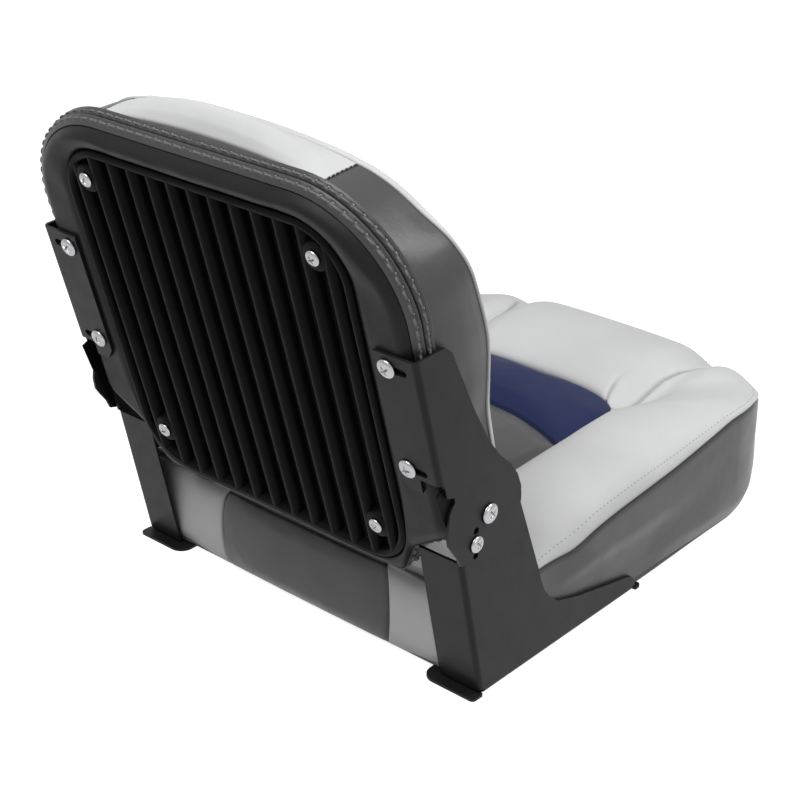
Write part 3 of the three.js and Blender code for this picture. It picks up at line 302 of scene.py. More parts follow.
@dataclass(frozen=True)
class Vinyl:
    """Marine vinyl: fine pebbled grain, soft sheen, and painted shade in its seams."""

    name: str
    color: Color
    roughness: float
    grain: float
    specular: float
    uneven: float = 0.05
    deep: float = 0.93
    worn: tuple[float, float] = (1.06, 0.002)
    # share of the colour left where the painted seam shade is full
    seam: float = 0.22
    cloud: tuple[float, float] = (9.0, 4.0)
    speck: tuple[float, float] = (900.0, 2.0)
    speck_share: float = 0.06
    speck_tone: float = 0.7
    gloss: tuple[float, float] = (35.0, 3.0)
    cells: float = 1100.0
    cell_distance: float = 0.00025
    bumps: tuple[Bump, ...] = (Bump(240.0, 3.0, 0.25, 0.0003), Bump(22.0, 2.0, 0.22, 0.004))

    def build(self) -> Material:
        """Make the material.

        Returns:
            The material.
        """
        shader = Shader(self.name)
        cloud = shader.ranged(shader.noise(*self.cloud), 0.0, 1.0)
        speck = shader.ranged(shader.noise(*self.speck), 0.0, 1.0)
        base = shader.mixed(cloud, tone(self.color, self.deep), tone(self.color, *self.worn))
        specks = shader.mixed(speck, (self.speck_tone,) * 3, (1.0, 1.0, 1.0))
        fine = shader.mixed(self.speck_share, base, specks, "MULTIPLY")
        # Painted shade: the mesh's seam number darkens the colour in seams, creases and stitch holes.
        seamed = shader.mixed(shader.attribute("seam"), fine, tone(self.color, self.seam))
        rough = shader.ranged(shader.noise(*self.gloss), self.roughness - self.uneven,
                              self.roughness + self.uneven)
        cells = shader.node("ShaderNodeTexVoronoi", {"feature": "SMOOTH_F1"}, Vector=shader.coords,
                            Scale=self.cells)
        normal = shader.bump(cells.outputs["Distance"], self.grain, self.cell_distance)
        for bump in self.bumps:
            normal = bump.over(shader, normal)
        return shader.finished(Base_Color=seamed, Roughness=rough, Specular_IOR_Level=self.specular,
                               Normal=normal)


@dataclass(frozen=True)
class Finish:
    """Any other finish: its colour, gloss and surface vary by fine noise."""

    name: str
    dark: Color
    pale: Color
    cloud: tuple[float, float]
    rough: tuple[float, float]
    gloss: tuple[float, float] = (80.0, 3.0)
    bumps: tuple[Bump, ...] = ()
    relief: tuple[float, float] = (0.0, 0.0)
    cells: bool = False
    stretch: tuple[float, float, float] | None = None
    specular: float = 0.5
    metallic: float = 0.0

    def build(self) -> Material:
        """Make the material.

        Returns:
            The material.
        """
        shader = Shader(self.name)
        if self.cells:
            pattern = shader.node("ShaderNodeTexVoronoi", Vector=shader.coords, Scale=self.cloud[0])
            cloud = pattern.outputs["Distance"]
        else:
            cloud = shader.ranged(shader.noise(*self.cloud, self.stretch), 0.0, 1.0)
        normal = shader.bump(cloud, *self.relief)
        for bump in self.bumps:
            normal = bump.over(shader, normal)
        return shader.finished(Base_Color=shader.mixed(cloud, self.dark, self.pale), Metallic=self.metallic,
                               Roughness=shader.ranged(shader.noise(*self.gloss), *self.rough),
                               Specular_IOR_Level=self.specular, Normal=normal)


def thread(name: str, color: Color) -> Material:
    """Twisted sewing thread."""
    return Finish(name, tone(color, 0.7), color, (1500.0, 2.0), (0.6, 0.6), relief=(0.4, 0.0002)).build()


class Finishes:
    """Every finish of the seat, made once."""

    def __init__(self) -> None:
        """Build the materials."""
        self.light = Vinyl("light grey vinyl", (0.57, 0.572, 0.575), 0.58, 0.35, 0.22).build()
        self.charcoal = Vinyl("charcoal vinyl", (0.041, 0.0413, 0.0425), 0.38, 0.35, 0.4).build()
        # Painted shade: a darker copy of the charcoal vinyl for the backrest's facing, which faces away from
        # the lamps.
        self.black = Vinyl("black vinyl", (0.013, 0.013, 0.0135), 0.44, 0.35, 0.12).build()
        self.navy = Vinyl("navy vinyl", (0.0135, 0.0195, 0.068), 0.5, 0.3, 0.1).build()
        coat, moulding, zinc = (0.0125, 0.0126, 0.0132), (0.0034, 0.0034, 0.0036), (0.4, 0.4, 0.41)
        self.steel = Finish(
            "black powder coat", tone(coat, 0.9), tone(coat, 1.15), (14.0, 4.0), (0.34, 0.44), (60.0, 4.0),
            (Bump(420.0, 2.0, 0.2, 0.0002), Bump(30.0, 2.0, 0.06, 0.001)), specular=0.13).build()
        self.plastic = Finish(
            "black moulding", tone(moulding, 0.85), tone(moulding, 1.2), (20.0, 4.0), (0.46, 0.56),
            (80.0, 3.0), (Bump(1400.0, 1.0, 0.3, 0.00015),), specular=0.05).build()
        self.zinc = Finish("bright zinc", tone(zinc, 0.86), zinc, (220.0, 4.0), (0.14, 0.26), (500.0, 3.0),
                           (Bump(900.0, 2.0, 0.08, 0.0001),), metallic=1.0).build()
        self.ply = Finish("sealed plywood", (0.36, 0.2, 0.09), (0.55, 0.36, 0.18), (60.0, 6.0), (0.55, 0.55),
                          relief=(0.2, 0.0004), stretch=(1.0, 0.06, 1.0)).build()
        self.foam = Finish("cushion foam", (0.6, 0.5, 0.26), (0.82, 0.75, 0.48), (900.0, 0.0), (0.95, 0.95),
                           relief=(0.6, 0.0006), cells=True).build()
        # Painted highlight: the band's stitches are real thread, but their pale colour stands in for the
        # light it catches.
        self.highlight_thread = thread("pale thread", (0.42, 0.42, 0.43))
        self.corded_thread = thread("grey corded thread", (0.13, 0.13, 0.133))
        self.grey_thread = thread("grey thread", (0.26, 0.26, 0.26))
        self.dark_thread = thread("dark thread", (0.012, 0.012, 0.013))


# Meshes


def linked(name: str, data: ID) -> Object:
    """Put a mesh, a lamp or a camera in the scene.

    Args:
        name: Its name.
        data: The mesh, lamp or camera.
    Returns:
        The object.
    """
    made = bpy.data.objects.new(name, data)
    bpy.context.scene.collection.objects.link(made)
    return made


def shaped(name: str, verts: Array, faces: Sequence[Sequence[int]] = ()) -> Mesh:
    """Make a mesh of points and faces.

    Args:
        name: Its name.
        verts: Points in metres.
        faces: Corner lists.
    Returns:
        The mesh.
    """
    mesh = bpy.data.meshes.new(name)
    mesh.from_pydata([tuple(v) for v in np.reshape(verts, (-1, 3))], [], [tuple(f) for f in faces])
    return mesh


def edited(mesh: Mesh, *steps: Callable[[bmesh.types.BMesh], object]) -> None:
    """Run steps on a mesh's own corners and faces.

    Args:
        mesh: The mesh.
        steps: What to do, in order.
    """
    work = bmesh.new()
    work.from_mesh(mesh)
    for step in steps:
        step(work)
    work.to_mesh(mesh)
    work.free()


def framed(shape: tuple[int, int], along: float, across: float) -> Array:
    """Numbers for a sheet's borders: painted shade along its seams, or where its cloth is held.

    Args:
        shape: Stations and points across.
        along: The number at the first and last stations.
        across: The number at both ends of each station.
    Returns:
        A number for each point, zero inside.
    """
    dark = np.zeros(shape)
    dark[[0, -1], :] = along
    dark[:, [0, -1]] = across
    return dark


class Maker:
    """Turns grids of points into pieces of the object."""

    def piece(self, name: str, verts: Array, faces: Sequence[Sequence[int]], material: Material,
              seam: Array | None = None, crisp: float = 60.0) -> Object:
        """Make a mesh piece with smooth faces.

        Args:
            name: The piece's name.
            verts: Points in metres.
            faces: Corner lists.
            material: Its finish.
            seam: How much painted seam shade each point gets.
            crisp: Angle in degrees above which an edge stays sharp.
        Returns:
            The object.
        """
        mesh = shaped(name, verts, faces)
        # Stored for the vinyl's painted seam shade.
        if seam is not None:
            stored = mesh.attributes.new("seam", "FLOAT", "POINT")
            stored.data.foreach_set("value", seam.astype(np.float32).ravel())
        edited(mesh, lambda work: bmesh.ops.recalc_face_normals(work, faces=work.faces))
        return self.keep(name, mesh, material, crisp)

    def keep(self, name: str, mesh: Mesh, material: Material, crisp: float = 60.0) -> Object:
        """Put a mesh in the scene with a finish and smooth shading.

        Args:
            name: Its name.
            mesh: The mesh.
            material: Its finish.
            crisp: Angle in degrees above which an edge stays sharp.
        Returns:
            The object.
        """
        mesh.materials.clear()
        mesh.materials.append(material)
        mesh.shade_smooth()
        mesh.set_sharp_from_angle(angle=math.radians(crisp))
        return linked(name, mesh)

    def cover(self, name: str, sheet: Array, under: Array, material: Material, loop: bool = False,
              seam: Array | None = None) -> Object:
        """Make a closed cover from its shown sheet and the few hidden points below it.

        Args:
            name: The piece's name.
            sheet: Shown points, stations by points across, in metres.
            under: Hidden points of each station, in metres.
            material: Its finish.
            loop: Whether the stations close on themselves.
            seam: How much painted seam shade each shown point gets.
        Returns:
            The object.
        """
        grid = np.concatenate([sheet, under], 1)
        rows, cols = grid.shape[:2]
        dark = np.zeros((rows, cols))
        if seam is not None:
            dark[:, : sheet.shape[1]] = seam
        last = rows if loop else rows - 1
        i, j = np.meshgrid(np.arange(last), np.arange(cols), indexing="ij")
        a, b = i * cols + j, i * cols + (j + 1) % cols
        down = (i + 1) % rows
        c, d = down * cols + (j + 1) % cols, down * cols + j
        faces = np.stack([a, b, c, d], -1).reshape(-1, 4).tolist()
        if not loop:
            faces.append(list(range(cols))[::-1])
            faces.append([(rows - 1) * cols + k for k in range(cols)])
        return self.piece(name, grid, faces, material, dark)


CLOTH = {"quality": 6, "mass": 0.25, "tension_stiffness": 12, "compression_stiffness": 12,
         "shear_stiffness": 6, "tension_damping": 12, "air_damping": 3, "use_pressure": True,
         "vertex_group_mass": "held"}
CLOTH_FRAMES = 18
CLOTH_ROUNDS = 3  # how often the cloth's movement is smoothed


@dataclass(frozen=True)
class Swelling:
    """How a sheet swells as cloth over its filling.

    Attributes:
        size: How many stations and points across the cloth has.
        pressure: Push of the filling below.
        slack: Share by which the cloth is cut larger than its place.
        cap: Most that a point may move, in millimetres.
        stiff: Resistance to bending.
    """

    size: tuple[int, int]
    pressure: float
    slack: float
    cap: float
    stiff: float = 1.5

    def run(self, rest: Array, body: Body) -> Array:
        """Let the cloth settle, held at its edges.

        Args:
            rest: Its points in metres.
            body: Which body it covers.
        Returns:
            How far each point moved.
        """
        n, m = self.size
        i, j = np.meshgrid(np.arange(n - 1), np.arange(m - 1), indexing="ij")
        a = i * m + j
        faces = np.stack([a, a + 1, a + m + 1, a + m], -1).reshape(-1, 4)
        way = np.cross(np.gradient(rest, axis=1), np.gradient(rest, axis=0))
        if np.sum(way * (rest - CORES[body])) < 0:
            faces = faces[:, ::-1]
        mesh = shaped("cloth", rest, faces.tolist())
        sheet = linked("cloth", mesh)
        border = framed((n, m), 1.0, 1.0)
        sheet.vertex_groups.new(name="held").add(np.flatnonzero(border.ravel()).tolist(), 1.0, "REPLACE")
        cloth = sheet.modifiers.new("cloth", "CLOTH")
        for key, value in CLOTH.items():
            setattr(cloth.settings, key, value)
        cloth.settings.bending_stiffness = self.stiff
        cloth.settings.uniform_pressure_force = self.pressure
        cloth.settings.effector_weights.gravity = 0
        cloth.settings.shrink_min = -self.slack
        cloth.point_cache.frame_start, cloth.point_cache.frame_end = 1, CLOTH_FRAMES
        for frame_number in range(1, CLOTH_FRAMES + 1):
            bpy.context.scene.frame_set(frame_number)
        view = sheet.evaluated_get(bpy.context.evaluated_depsgraph_get())
        flat = np.zeros(n * m * 3, np.float32)
        view.data.vertices.foreach_get("co", flat)
        bpy.data.objects.remove(sheet)
        bpy.data.meshes.remove(mesh)
        bpy.context.scene.frame_set(1)
        return flat.reshape(n, m, 3).astype(float) - rest


def calmed(moved: Array) -> Array:
    """Smooth the small wrinkles out of a movement.

    Args:
        moved: How far each point moves.
    Returns:
        The same array, smoothed.
    """
    for _ in range(CLOTH_ROUNDS):
        wide = np.pad(moved, ((1, 1), (1, 1), (0, 0)), "edge")
        sides = wide[:-2, 1:-1] + wide[2:, 1:-1] + wide[1:-1, :-2] + wide[1:-1, 2:]
        moved[1:-1, 1:-1] = (sides + 2 * wide[1:-1, 1:-1])[1:-1, 1:-1] / 6
    return moved


def billowed(grid: Array, body: Body, how: Swelling) -> Array:
    """Let a sheet swell as cloth that is held at its edges, and move a fine grid of it the same way.

    Args:
        grid: Stations by points across, in metres.
        body: Which body the sheet covers.
        how: The cloth and its filling.
    Returns:
        The grid after swelling.
    """
    (rows, cols), (n, m) = grid.shape[:2], how.size
    moved = calmed(how.run(resampled(grid, np.linspace(0, rows - 1, n), np.linspace(0, cols - 1, m)), body))
    length = np.linalg.norm(moved, axis=-1, keepdims=True)
    moved *= np.minimum(1.0, how.cap * MM / np.maximum(length, TINY))
    fine_rows, fine_cols = np.arange(rows) * (n - 1) / (rows - 1), np.arange(cols) * (m - 1) / (cols - 1)
    return grid + resampled(moved, fine_rows, fine_cols)


def resampled(grid: Array, rows: Array, cols: Array) -> Array:
    """Read a grid between its points with smooth curves both ways.

    Args:
        grid: Stations by points across.
        rows: Where to read along.
        cols: Where to read across.
    Returns:
        The grid at those places.
    """

    def along(values: Array, places: Array) -> Array:
        """Read an array at places on its first axis.

        Args:
            values: The array.
            places: Where to read it.
        Returns:
            The values there.
        """
        last = len(values) - 1
        i = np.clip(np.floor(places).astype(int), 0, last - 1)
        t = (places - i).reshape(-1, *([1] * (values.ndim - 1)))
        p0, p1 = values[np.maximum(i - 1, 0)], values[i]
        p2, p3 = values[i + 1], values[np.minimum(i + 2, last)]
        square, cube = 2 * p0 - 5 * p1 + 4 * p2 - p3, 3 * p1 - p0 - 3 * p2 + p3
        return 0.5 * (2 * p1 + (p2 - p0) * t + square * t**2 + cube * t**3)

    once = along(grid, np.asarray(rows, float))
    return np.swapaxes(along(np.swapaxes(once, 0, 1), np.asarray(cols, float)), 0, 1)


def facing_out(grid: Array, body: Body) -> Array:
    """The direction out of each point of a grid, by its neighbours.

    Args:
        grid: Stations by points across, in metres.
        body: Which body the grid covers.
    Returns:
        Directions away from the middle of that body.
    """
    along, across = np.gradient(grid, axis=0), np.gradient(grid, axis=1)
    normal = np.cross(across, along)
    normal /= np.maximum(np.linalg.norm(normal, axis=-1, keepdims=True), TINY**2)
    return normal if np.sum(normal * (grid - CORES[body])) > 0 else -normal


@dataclass(frozen=True)
class Fold:
    """A crease or fold pressed into a cover along a line on its plan, in millimetres."""

    points: tuple[tuple[float, float], ...]
    depth: float
    width: float
    # painted shade along the crease
    dark: float = 0.0
    ends: tuple[float, float] = (0.15, 0.15)

    def press(self, x: Array, y: Array) -> Array:
        """How far each point is pressed in, as a share of the depth.

        Args:
            x: Place across.
            y: Place along.
        Returns:
            Shares from 0 to 1.
        """
        nodes = np.array(self.points, float)
        steps = np.linalg.norm(np.diff(nodes, axis=0), axis=1)
        total = steps.sum()
        best, share = np.full(x.shape, np.inf), np.zeros(x.shape)
        start = 0.0
        for first, second, length in zip(nodes[:-1], nodes[1:], steps):
            way = (second - first) / length
            t = np.clip((x - first[0]) * way[0] + (y - first[1]) * way[1], 0, length)
            gap = np.hypot(x - first[0] - way[0] * t, y - first[1] - way[1] * t)
            nearer = gap < best
            best = np.where(nearer, gap, best)
            share = np.where(nearer, (start + t) / total, share)
            start += length
        fade = np.clip(share / self.ends[0], 0, 1) * np.clip((1 - share) / self.ends[1], 0, 1)
        return np.exp(-((best / self.width) ** 2)) * fade


def pressed(grid: Array, body: Body, plan: tuple[Array, Array], folds: Sequence[Fold]) -> tuple[Array, Array]:
    """Press folds into a grid on both sides of the middle.

    Args:
        grid: Points in metres.
        body: Which body the grid covers.
        plan: Place across and along of each point, in millimetres.
        folds: The folds of the +X side.
    Returns:
        The new grid and the painted crease shade of each point.
    """
    out = facing_out(grid, body)
    depth, dark = np.zeros(plan[0].shape), np.zeros(plan[0].shape)
    for fold in folds:
        share = fold.press(np.abs(plan[0]), plan[1])
        depth += share * fold.depth
        # Painted shade along the crease.
        dark = np.maximum(dark, share**2 * fold.dark)
    return grid - out * depth[..., None] * MM, dark


# Repeated pieces


class Scatter:
    """Sets copies of a small mesh on points with geometry nodes and bakes them into one plain mesh."""

    def __init__(self, maker: Maker) -> None:
        """Build the node tree.

        Args:
            maker: Where the baked pieces go.
        """
        self.maker = maker
        tree = bpy.data.node_groups.new("set on points", "GeometryNodeTree")
        face, nodes, links = tree.interface, tree.nodes, tree.links
        face.new_socket("Geometry", in_out="INPUT", socket_type="NodeSocketGeometry")
        self.unit_id = face.new_socket("Unit", in_out="INPUT", socket_type="NodeSocketObject").identifier
        self.finish_id = face.new_socket("Finish", in_out="INPUT",
                                         socket_type="NodeSocketMaterial").identifier
        face.new_socket("Geometry", in_out="OUTPUT", socket_type="NodeSocketGeometry")
        given, result = nodes.new("NodeGroupInput"), nodes.new("NodeGroupOutput")
        unit, put = nodes.new("GeometryNodeObjectInfo"), nodes.new("GeometryNodeInstanceOnPoints")
        real, paint = nodes.new("GeometryNodeRealizeInstances"), nodes.new("GeometryNodeSetMaterial")

        def read(name: str) -> NodeSocket:
            """Read what the points store.

            Args:
                name: What it is called.
            Returns:
                The socket.
            """
            made = nodes.new("GeometryNodeInputNamedAttribute")
            made.data_type = "FLOAT_VECTOR"
            made.inputs[0].default_value = name
            return made.outputs[0]

        turn = None
        for axis, pivot, name in (("X", "AUTO", "along"), ("Z", "X", "up")):
            align = nodes.new("FunctionNodeAlignRotationToVector")
            align.axis, align.pivot_axis = axis, pivot
            links.new(read(name), align.inputs["Vector"])
            if turn is not None:
                links.new(turn, align.inputs["Rotation"])
            turn = align.outputs[0]
        for source, target in (
            (given.outputs["Unit"], unit.inputs["Object"]), (given.outputs["Geometry"], put.inputs["Points"]),
            (unit.outputs["Geometry"], put.inputs["Instance"]), (turn, put.inputs["Rotation"]),
            (read("size"), put.inputs["Scale"]), (put.outputs[0], real.inputs[0]),
            (real.outputs[0], paint.inputs["Geometry"]), (given.outputs["Finish"], paint.inputs["Material"]),
            (paint.outputs[0], result.inputs[0]),
        ):
            links.new(source, target)
        self.tree = tree

    def bake(self, name: str, unit: Mesh, points: Array, along: Array, up: Array,
             finish: Material, size: Array | None = None, crisp: float = 50.0) -> Object:
        """Set a unit mesh on points and keep the result.

        Args:
            name: The piece's name.
            unit: The mesh to copy, its length along X and its outside up Z.
            points: Places in metres.
            along: Direction of X at each point.
            up: Direction of Z at each point.
            finish: Its material.
            size: Scale of each copy on its own axes.
            crisp: Angle in degrees above which an edge stays sharp.
        Returns:
            The object.
        """
        mesh = shaped(name + "_points", points)
        sizes = np.ones_like(points) if size is None else size
        for key, values in (("along", along), ("up", up), ("size", sizes)):
            stored = mesh.attributes.new(key, "FLOAT_VECTOR", "POINT")
            stored.data.foreach_set("vector",
                                    np.broadcast_to(values, points.shape).astype(np.float32).ravel())
        holder, model = linked(name + "_points", mesh), bpy.data.objects.new(name + "_unit", unit)
        modifier = holder.modifiers.new("set", "NODES")
        modifier.node_group = self.tree
        modifier[self.unit_id], modifier[self.finish_id] = model, finish
        view = holder.evaluated_get(bpy.context.evaluated_depsgraph_get())
        baked = bpy.data.meshes.new_from_object(view)
        for used in (holder, model):
            bpy.data.objects.remove(used)
        baked.name = name
        for key in ("along", "up", "size"):
            if key in baked.attributes:
                baked.attributes.remove(baked.attributes[key])
        return self.maker.keep(name, baked, finish, crisp)


def turned(profile: Sequence[tuple[float, float]], sides: int,
           dent: Callable[[Array, Array], Array] | None = None) -> Mesh:
    """Turn a profile round Z into a closed mesh.

    Args:
        profile: Radius and height from the top's middle down to the bottom's middle, in metres.
        sides: Points round it.
        dent: Depth of a dent at a place on the top, in metres.
    Returns:
        The mesh.
    """
    ring = np.array(profile, float)
    angle = np.arange(sides) * 2 * math.pi / sides
    x = ring[1:-1, :1] * np.cos(angle)
    y = ring[1:-1, :1] * np.sin(angle)
    z = np.repeat(ring[1:-1, 1:], sides, 1)
    middle = ring[0, 1]
    if dent is not None:
        widest = int(np.argmax(ring[1:-1, 0]))
        z[:widest] -= dent(x[:widest], y[:widest])
        middle -= float(dent(np.zeros(1), np.zeros(1))[0])
    verts = np.concatenate([[[0, 0, middle]], np.stack([x, y, z], -1).reshape(-1, 3), [[0, 0, ring[-1, 1]]]])
    rows = len(ring) - 2
    faces = [(0, 1 + k, 1 + (k + 1) % sides) for k in range(sides)]
    for r in range(rows - 1):
        for k in range(sides):
            a, b = 1 + r * sides + k, 1 + r * sides + (k + 1) % sides
            faces.append((a, a + sides, b + sides, b))
    end = len(verts) - 1
    last = 1 + (rows - 1) * sides
    faces += [(end, last + (k + 1) % sides, last + k) for k in range(sides)]
    return shaped("turned", verts, faces)


@dataclass(frozen=True)
class Head:
    """A truss head with a cross recess, in millimetres."""

    radius: float
    height: float
    shank: float
    length: float
    rim: float = 0.22
    foot: tuple[float, float] = (0.97, 0.05)  # shares of the radius and of the height at its rounded rim
    arm: float = 0.55  # reach of the cross, as a share of the radius
    slot: float = 0.95
    deep: float = 2.3
    slope: float = 0.55
    soft: tuple[float, float] = (0.35, 0.5)  # how wide the sides and the ends of the cross slope

    def unit(self) -> Mesh:
        """Make the screw, its head's underside at Z = 0.

        Returns:
            The mesh.
        """
        top = [(self.radius * math.sin(a), self.height * (self.rim + (1 - self.rim) * math.cos(a)))
               for a in np.linspace(0, math.pi / 2, 26)]
        rest = [(self.radius, self.foot[1] * self.height), (self.radius * self.foot[0], 0.0),
                (self.shank, 0.0), (self.shank, -self.length), (0.0, -self.length)]
        profile = [(0.0, self.height)] + top[1:] + rest

        def cross(x: Array, y: Array) -> Array:
            """Depth of the cross on the head.

            Args:
                x: Place across in metres.
                y: The other place.
            Returns:
                Depths in metres.
            """
            reach, wide = self.arm * self.radius * MM, self.slot * MM
            near, side = np.maximum(np.abs(x), np.abs(y)), np.minimum(np.abs(x), np.abs(y))
            inside = np.clip((wide - side) / (self.soft[0] * MM), 0, 1)
            inside *= np.clip((reach - near) / (self.soft[1] * MM), 0, 1)
            return inside * self.deep * MM * (1 - self.slope * near / reach)

        return turned([(r * MM, z * MM) for r, z in profile], 64, cross)


# A stitch's rings: place along it, thickness, and how far it is lifted out of the vinyl, as shares
STITCH_SHARES = ((-0.5, 0.45, -1.1), (-0.36, 0.9, -0.1), (0.0, 1.0, 0.15), (0.36, 0.9, -0.1),
                 (0.5, 0.45, -1.1))


def stitch_unit(length: float, thick: float) -> Mesh:
    """One stitch: a short bowed strand along X, its ends pulled into the vinyl.

    Args:
        length: Its length in millimetres.
        thick: Its radius in millimetres.
    Returns:
        The mesh.
    """
    rows, sides = STITCH_SHARES, 6
    verts, faces = [], []
    for at, grow, lift in rows:
        for k in range(sides):
            a = 2 * math.pi * k / sides
            y, z = grow * thick * math.cos(a), lift * thick + grow * thick * math.sin(a)
            verts.append((at * length * MM, y * MM, z * MM))
    for r in range(len(rows) - 1):
        for k in range(sides):
            a, b = r * sides + k, r * sides + (k + 1) % sides
            faces.append((a, b, b + sides, a + sides))
    faces += [tuple(range(sides))[::-1], tuple((len(rows) - 1) * sides + k for k in range(sides))]
    return shaped("stitch", np.array(verts), faces)


def spaced(line: Array, pitch: float) -> Array:
    """Even places along a line of points.

    Args:
        line: Points in metres.
        pitch: Distance between places, in millimetres.
    Returns:
        The places, as fractions between the numbers of the line's points.
    """
    steps = np.linalg.norm(np.diff(line, axis=0), axis=1)
    length = np.concatenate([[0], np.cumsum(steps)])
    count = max(int(length[-1] / (pitch * MM)), 2)
    return np.interp((np.arange(count) + 0.5) * length[-1] / count, length, np.arange(len(line)))


# Cushions


@dataclass
class Edge:
    """Matched points round a cushion: its edge, the way out of it, and the insert's edge, in millimetres."""

    x: Array
    l: Array
    nx: Array
    nl: Array
    ix: Array
    il: Array

    def both(self) -> Edge:
        """Mirror the +X half.

        Returns:
            The whole edge.
        """

        def doubled(half: Array, sign: int) -> Array:
            """A half and its mirror image."""
            return np.concatenate([half, sign * half[-2::-1]])

        return Edge(doubled(self.x, -1), doubled(self.l, 1), doubled(self.nx, -1), doubled(self.nl, 1),
                    doubled(self.ix, -1), doubled(self.il, 1))

    def at(self, out: Array) -> tuple[Array, Array]:
        """Points some way out of the edge.

        Args:
            out: How far, for each point or for a grid of points by columns.
        Returns:
            Place across and place along.
        """
        if np.ndim(out) == 2:
            return self.x[:, None] + self.nx[:, None] * out, self.l[:, None] + self.nl[:, None] * out
        return self.x + self.nx * out, self.l + self.nl * out


@dataclass
class Cushion:
    """A cushion with a roll round three sides and a sunken insert, in millimetres."""

    half_width: float
    length: float
    corner: float
    bow: float
    base: float
    wall: float
    depth: float
    insert_half: float
    insert_corner: float
    insert_depth: float
    split: float
    split_bow: float
    insert_crown: float
    widths: Table
    seam: Table
    crown: Table
    insert_seam: Table
    swell: float
    swells: Table
    place: Place
    valley: float = 0.0
    valley_past: float = 2.3
    valley_width: float = 18.0
    valley_start: float = 290.0
    valley_full: float = 350.0
    insert_turns: tuple[int, int] = (8, 3)
    insert_square: float = 2 / 3
    insert_gap: float = 0.3
    insert_tuck: float = 2.0
    roll_square: float = 0.8
    inner_tuck: tuple[float, float] = (2.5, 0.012)  # depth and width share
    outer_tuck: tuple[float, float, float] = (2.2, 0.2, 0.02)  # back, down and width share
    side_points: int = 150
    arc_points: int = 90
    end_points: int = 45

    def edge(self) -> Edge:
        """Draw the edge from the open end's +X corner round to the other one.

        Returns:
            The whole edge.
        """
        start = self.length - self.corner
        l_side = np.linspace(0, start, self.side_points)
        x_side = self.half_width * eased(self.widths, l_side / self.length)
        dx, dl = np.gradient(x_side), np.gradient(l_side)
        size = np.hypot(dx, dl)
        arc = np.arange(1, self.arc_points + 1) / self.arc_points
        end = np.arange(1, self.end_points + 1) / self.end_points
        angle = arc * math.pi / 2
        cx = self.half_width - self.corner
        x_arc, l_arc = cx + self.corner * np.cos(angle), start + self.corner * np.sin(angle)
        x_end = cx * (1 - end)
        l_end = self.length + self.bow * (1 - (1 - end) ** 2)
        first, last = self.insert_turns
        turn = np.concatenate([arc * first, first + end * last]) / (first + last) * math.pi / 2
        around = self.insert_half * np.maximum(np.cos(turn), 0) ** self.insert_square
        ix = np.concatenate([np.full(self.side_points, self.insert_half), around])
        past = self.insert_corner + self.insert_depth * np.sin(turn) ** self.insert_square
        il = np.concatenate([l_side / start * self.insert_corner, past])
        half = Edge(
            np.concatenate([x_side, x_arc, x_end]), np.concatenate([l_side, l_arc, l_end]),
            np.concatenate([dl / size, np.cos(angle), np.zeros(self.end_points)]),
            np.concatenate([-dx / size, np.sin(angle), np.ones(self.end_points)]), ix, il,
        )
        return half.both()

    def out(self, edge: Edge) -> Array:
        """How far the edge swells past its line."""
        return self.swell * eased(self.swells, edge.l / self.length)

    def seam_height(self, edge: Edge) -> Array:
        """Height of the outer seam."""
        return self.depth * eased(self.seam, edge.l / self.length)

    def insert_height(self, l: Array) -> Array:
        """Height of the insert's seam at a length."""
        return self.depth * eased(self.insert_seam, l / (self.insert_corner + self.insert_depth))

    def roll(self, edge: Edge, columns: int, out: Array) -> tuple[Array, Array, Array]:
        """The roll's shown sheet.

        Args:
            edge: The edge.
            columns: Points across.
            out: How far its outer seam stands past the edge.
        Returns:
            Place across, along and up of each point.
        """
        ox, ol = edge.at(out)
        low, high = self.insert_height(edge.il)[:, None], self.seam_height(edge)[:, None]
        top = self.depth * eased(self.crown, edge.l / self.length)[:, None]
        a = np.linspace(0, math.pi, columns)[None, :]
        share = (1 - np.cos(a)) / 2
        base = np.where(a < math.pi / 2, low, high)
        h = base + np.maximum(top - base, 0) * np.sin(a) ** self.roll_square
        x = edge.ix[:, None] + (ox - edge.ix)[:, None] * share
        l = edge.il[:, None] + (ol - edge.il)[:, None] * share
        h = h - self.valley_depth(x, l) * np.minimum(np.sin(a) * 2, 1)
        (deep, near), (back, down, far) = self.inner_tuck, self.outer_tuck
        tuck = np.clip(1 - (a / math.pi) / near, 0, 1)
        turn_in = np.clip(1 - (1 - a / math.pi) / far, 0, 1)
        x, l = x - edge.nx[:, None] * turn_in * back, l - edge.nl[:, None] * turn_in * back
        return x, l, h - tuck * deep - turn_in * down

    def valley_depth(self, x: Array, l: Array) -> Array:
        """How far the roll sinks where its front meets its sides.

        Args:
            x: Place across.
            l: Place along.
        Returns:
            Depths in millimetres.
        """
        offside = (np.abs(x) - self.insert_half - self.valley_past) / self.valley_width
        rise = np.clip((l - self.valley_start) / (self.valley_full - self.valley_start), 0, 1)
        return self.valley * np.exp(-(offside**2)) * rise**2 * (3 - 2 * rise)

    def roll_under(self, edge: Edge) -> Array:
        """The roll's hidden points, from its outer seam back to the insert's seam.

        Args:
            edge: The edge.
        Returns:
            Two points for each station, in metres.
        """
        hx, hl = edge.at(-(self.wall + 1) * np.ones(len(edge.x)))
        x, l = np.stack([hx, edge.ix], 1), np.stack([hl, edge.il], 1)
        return self.place(x, l, np.full(x.shape, self.base))

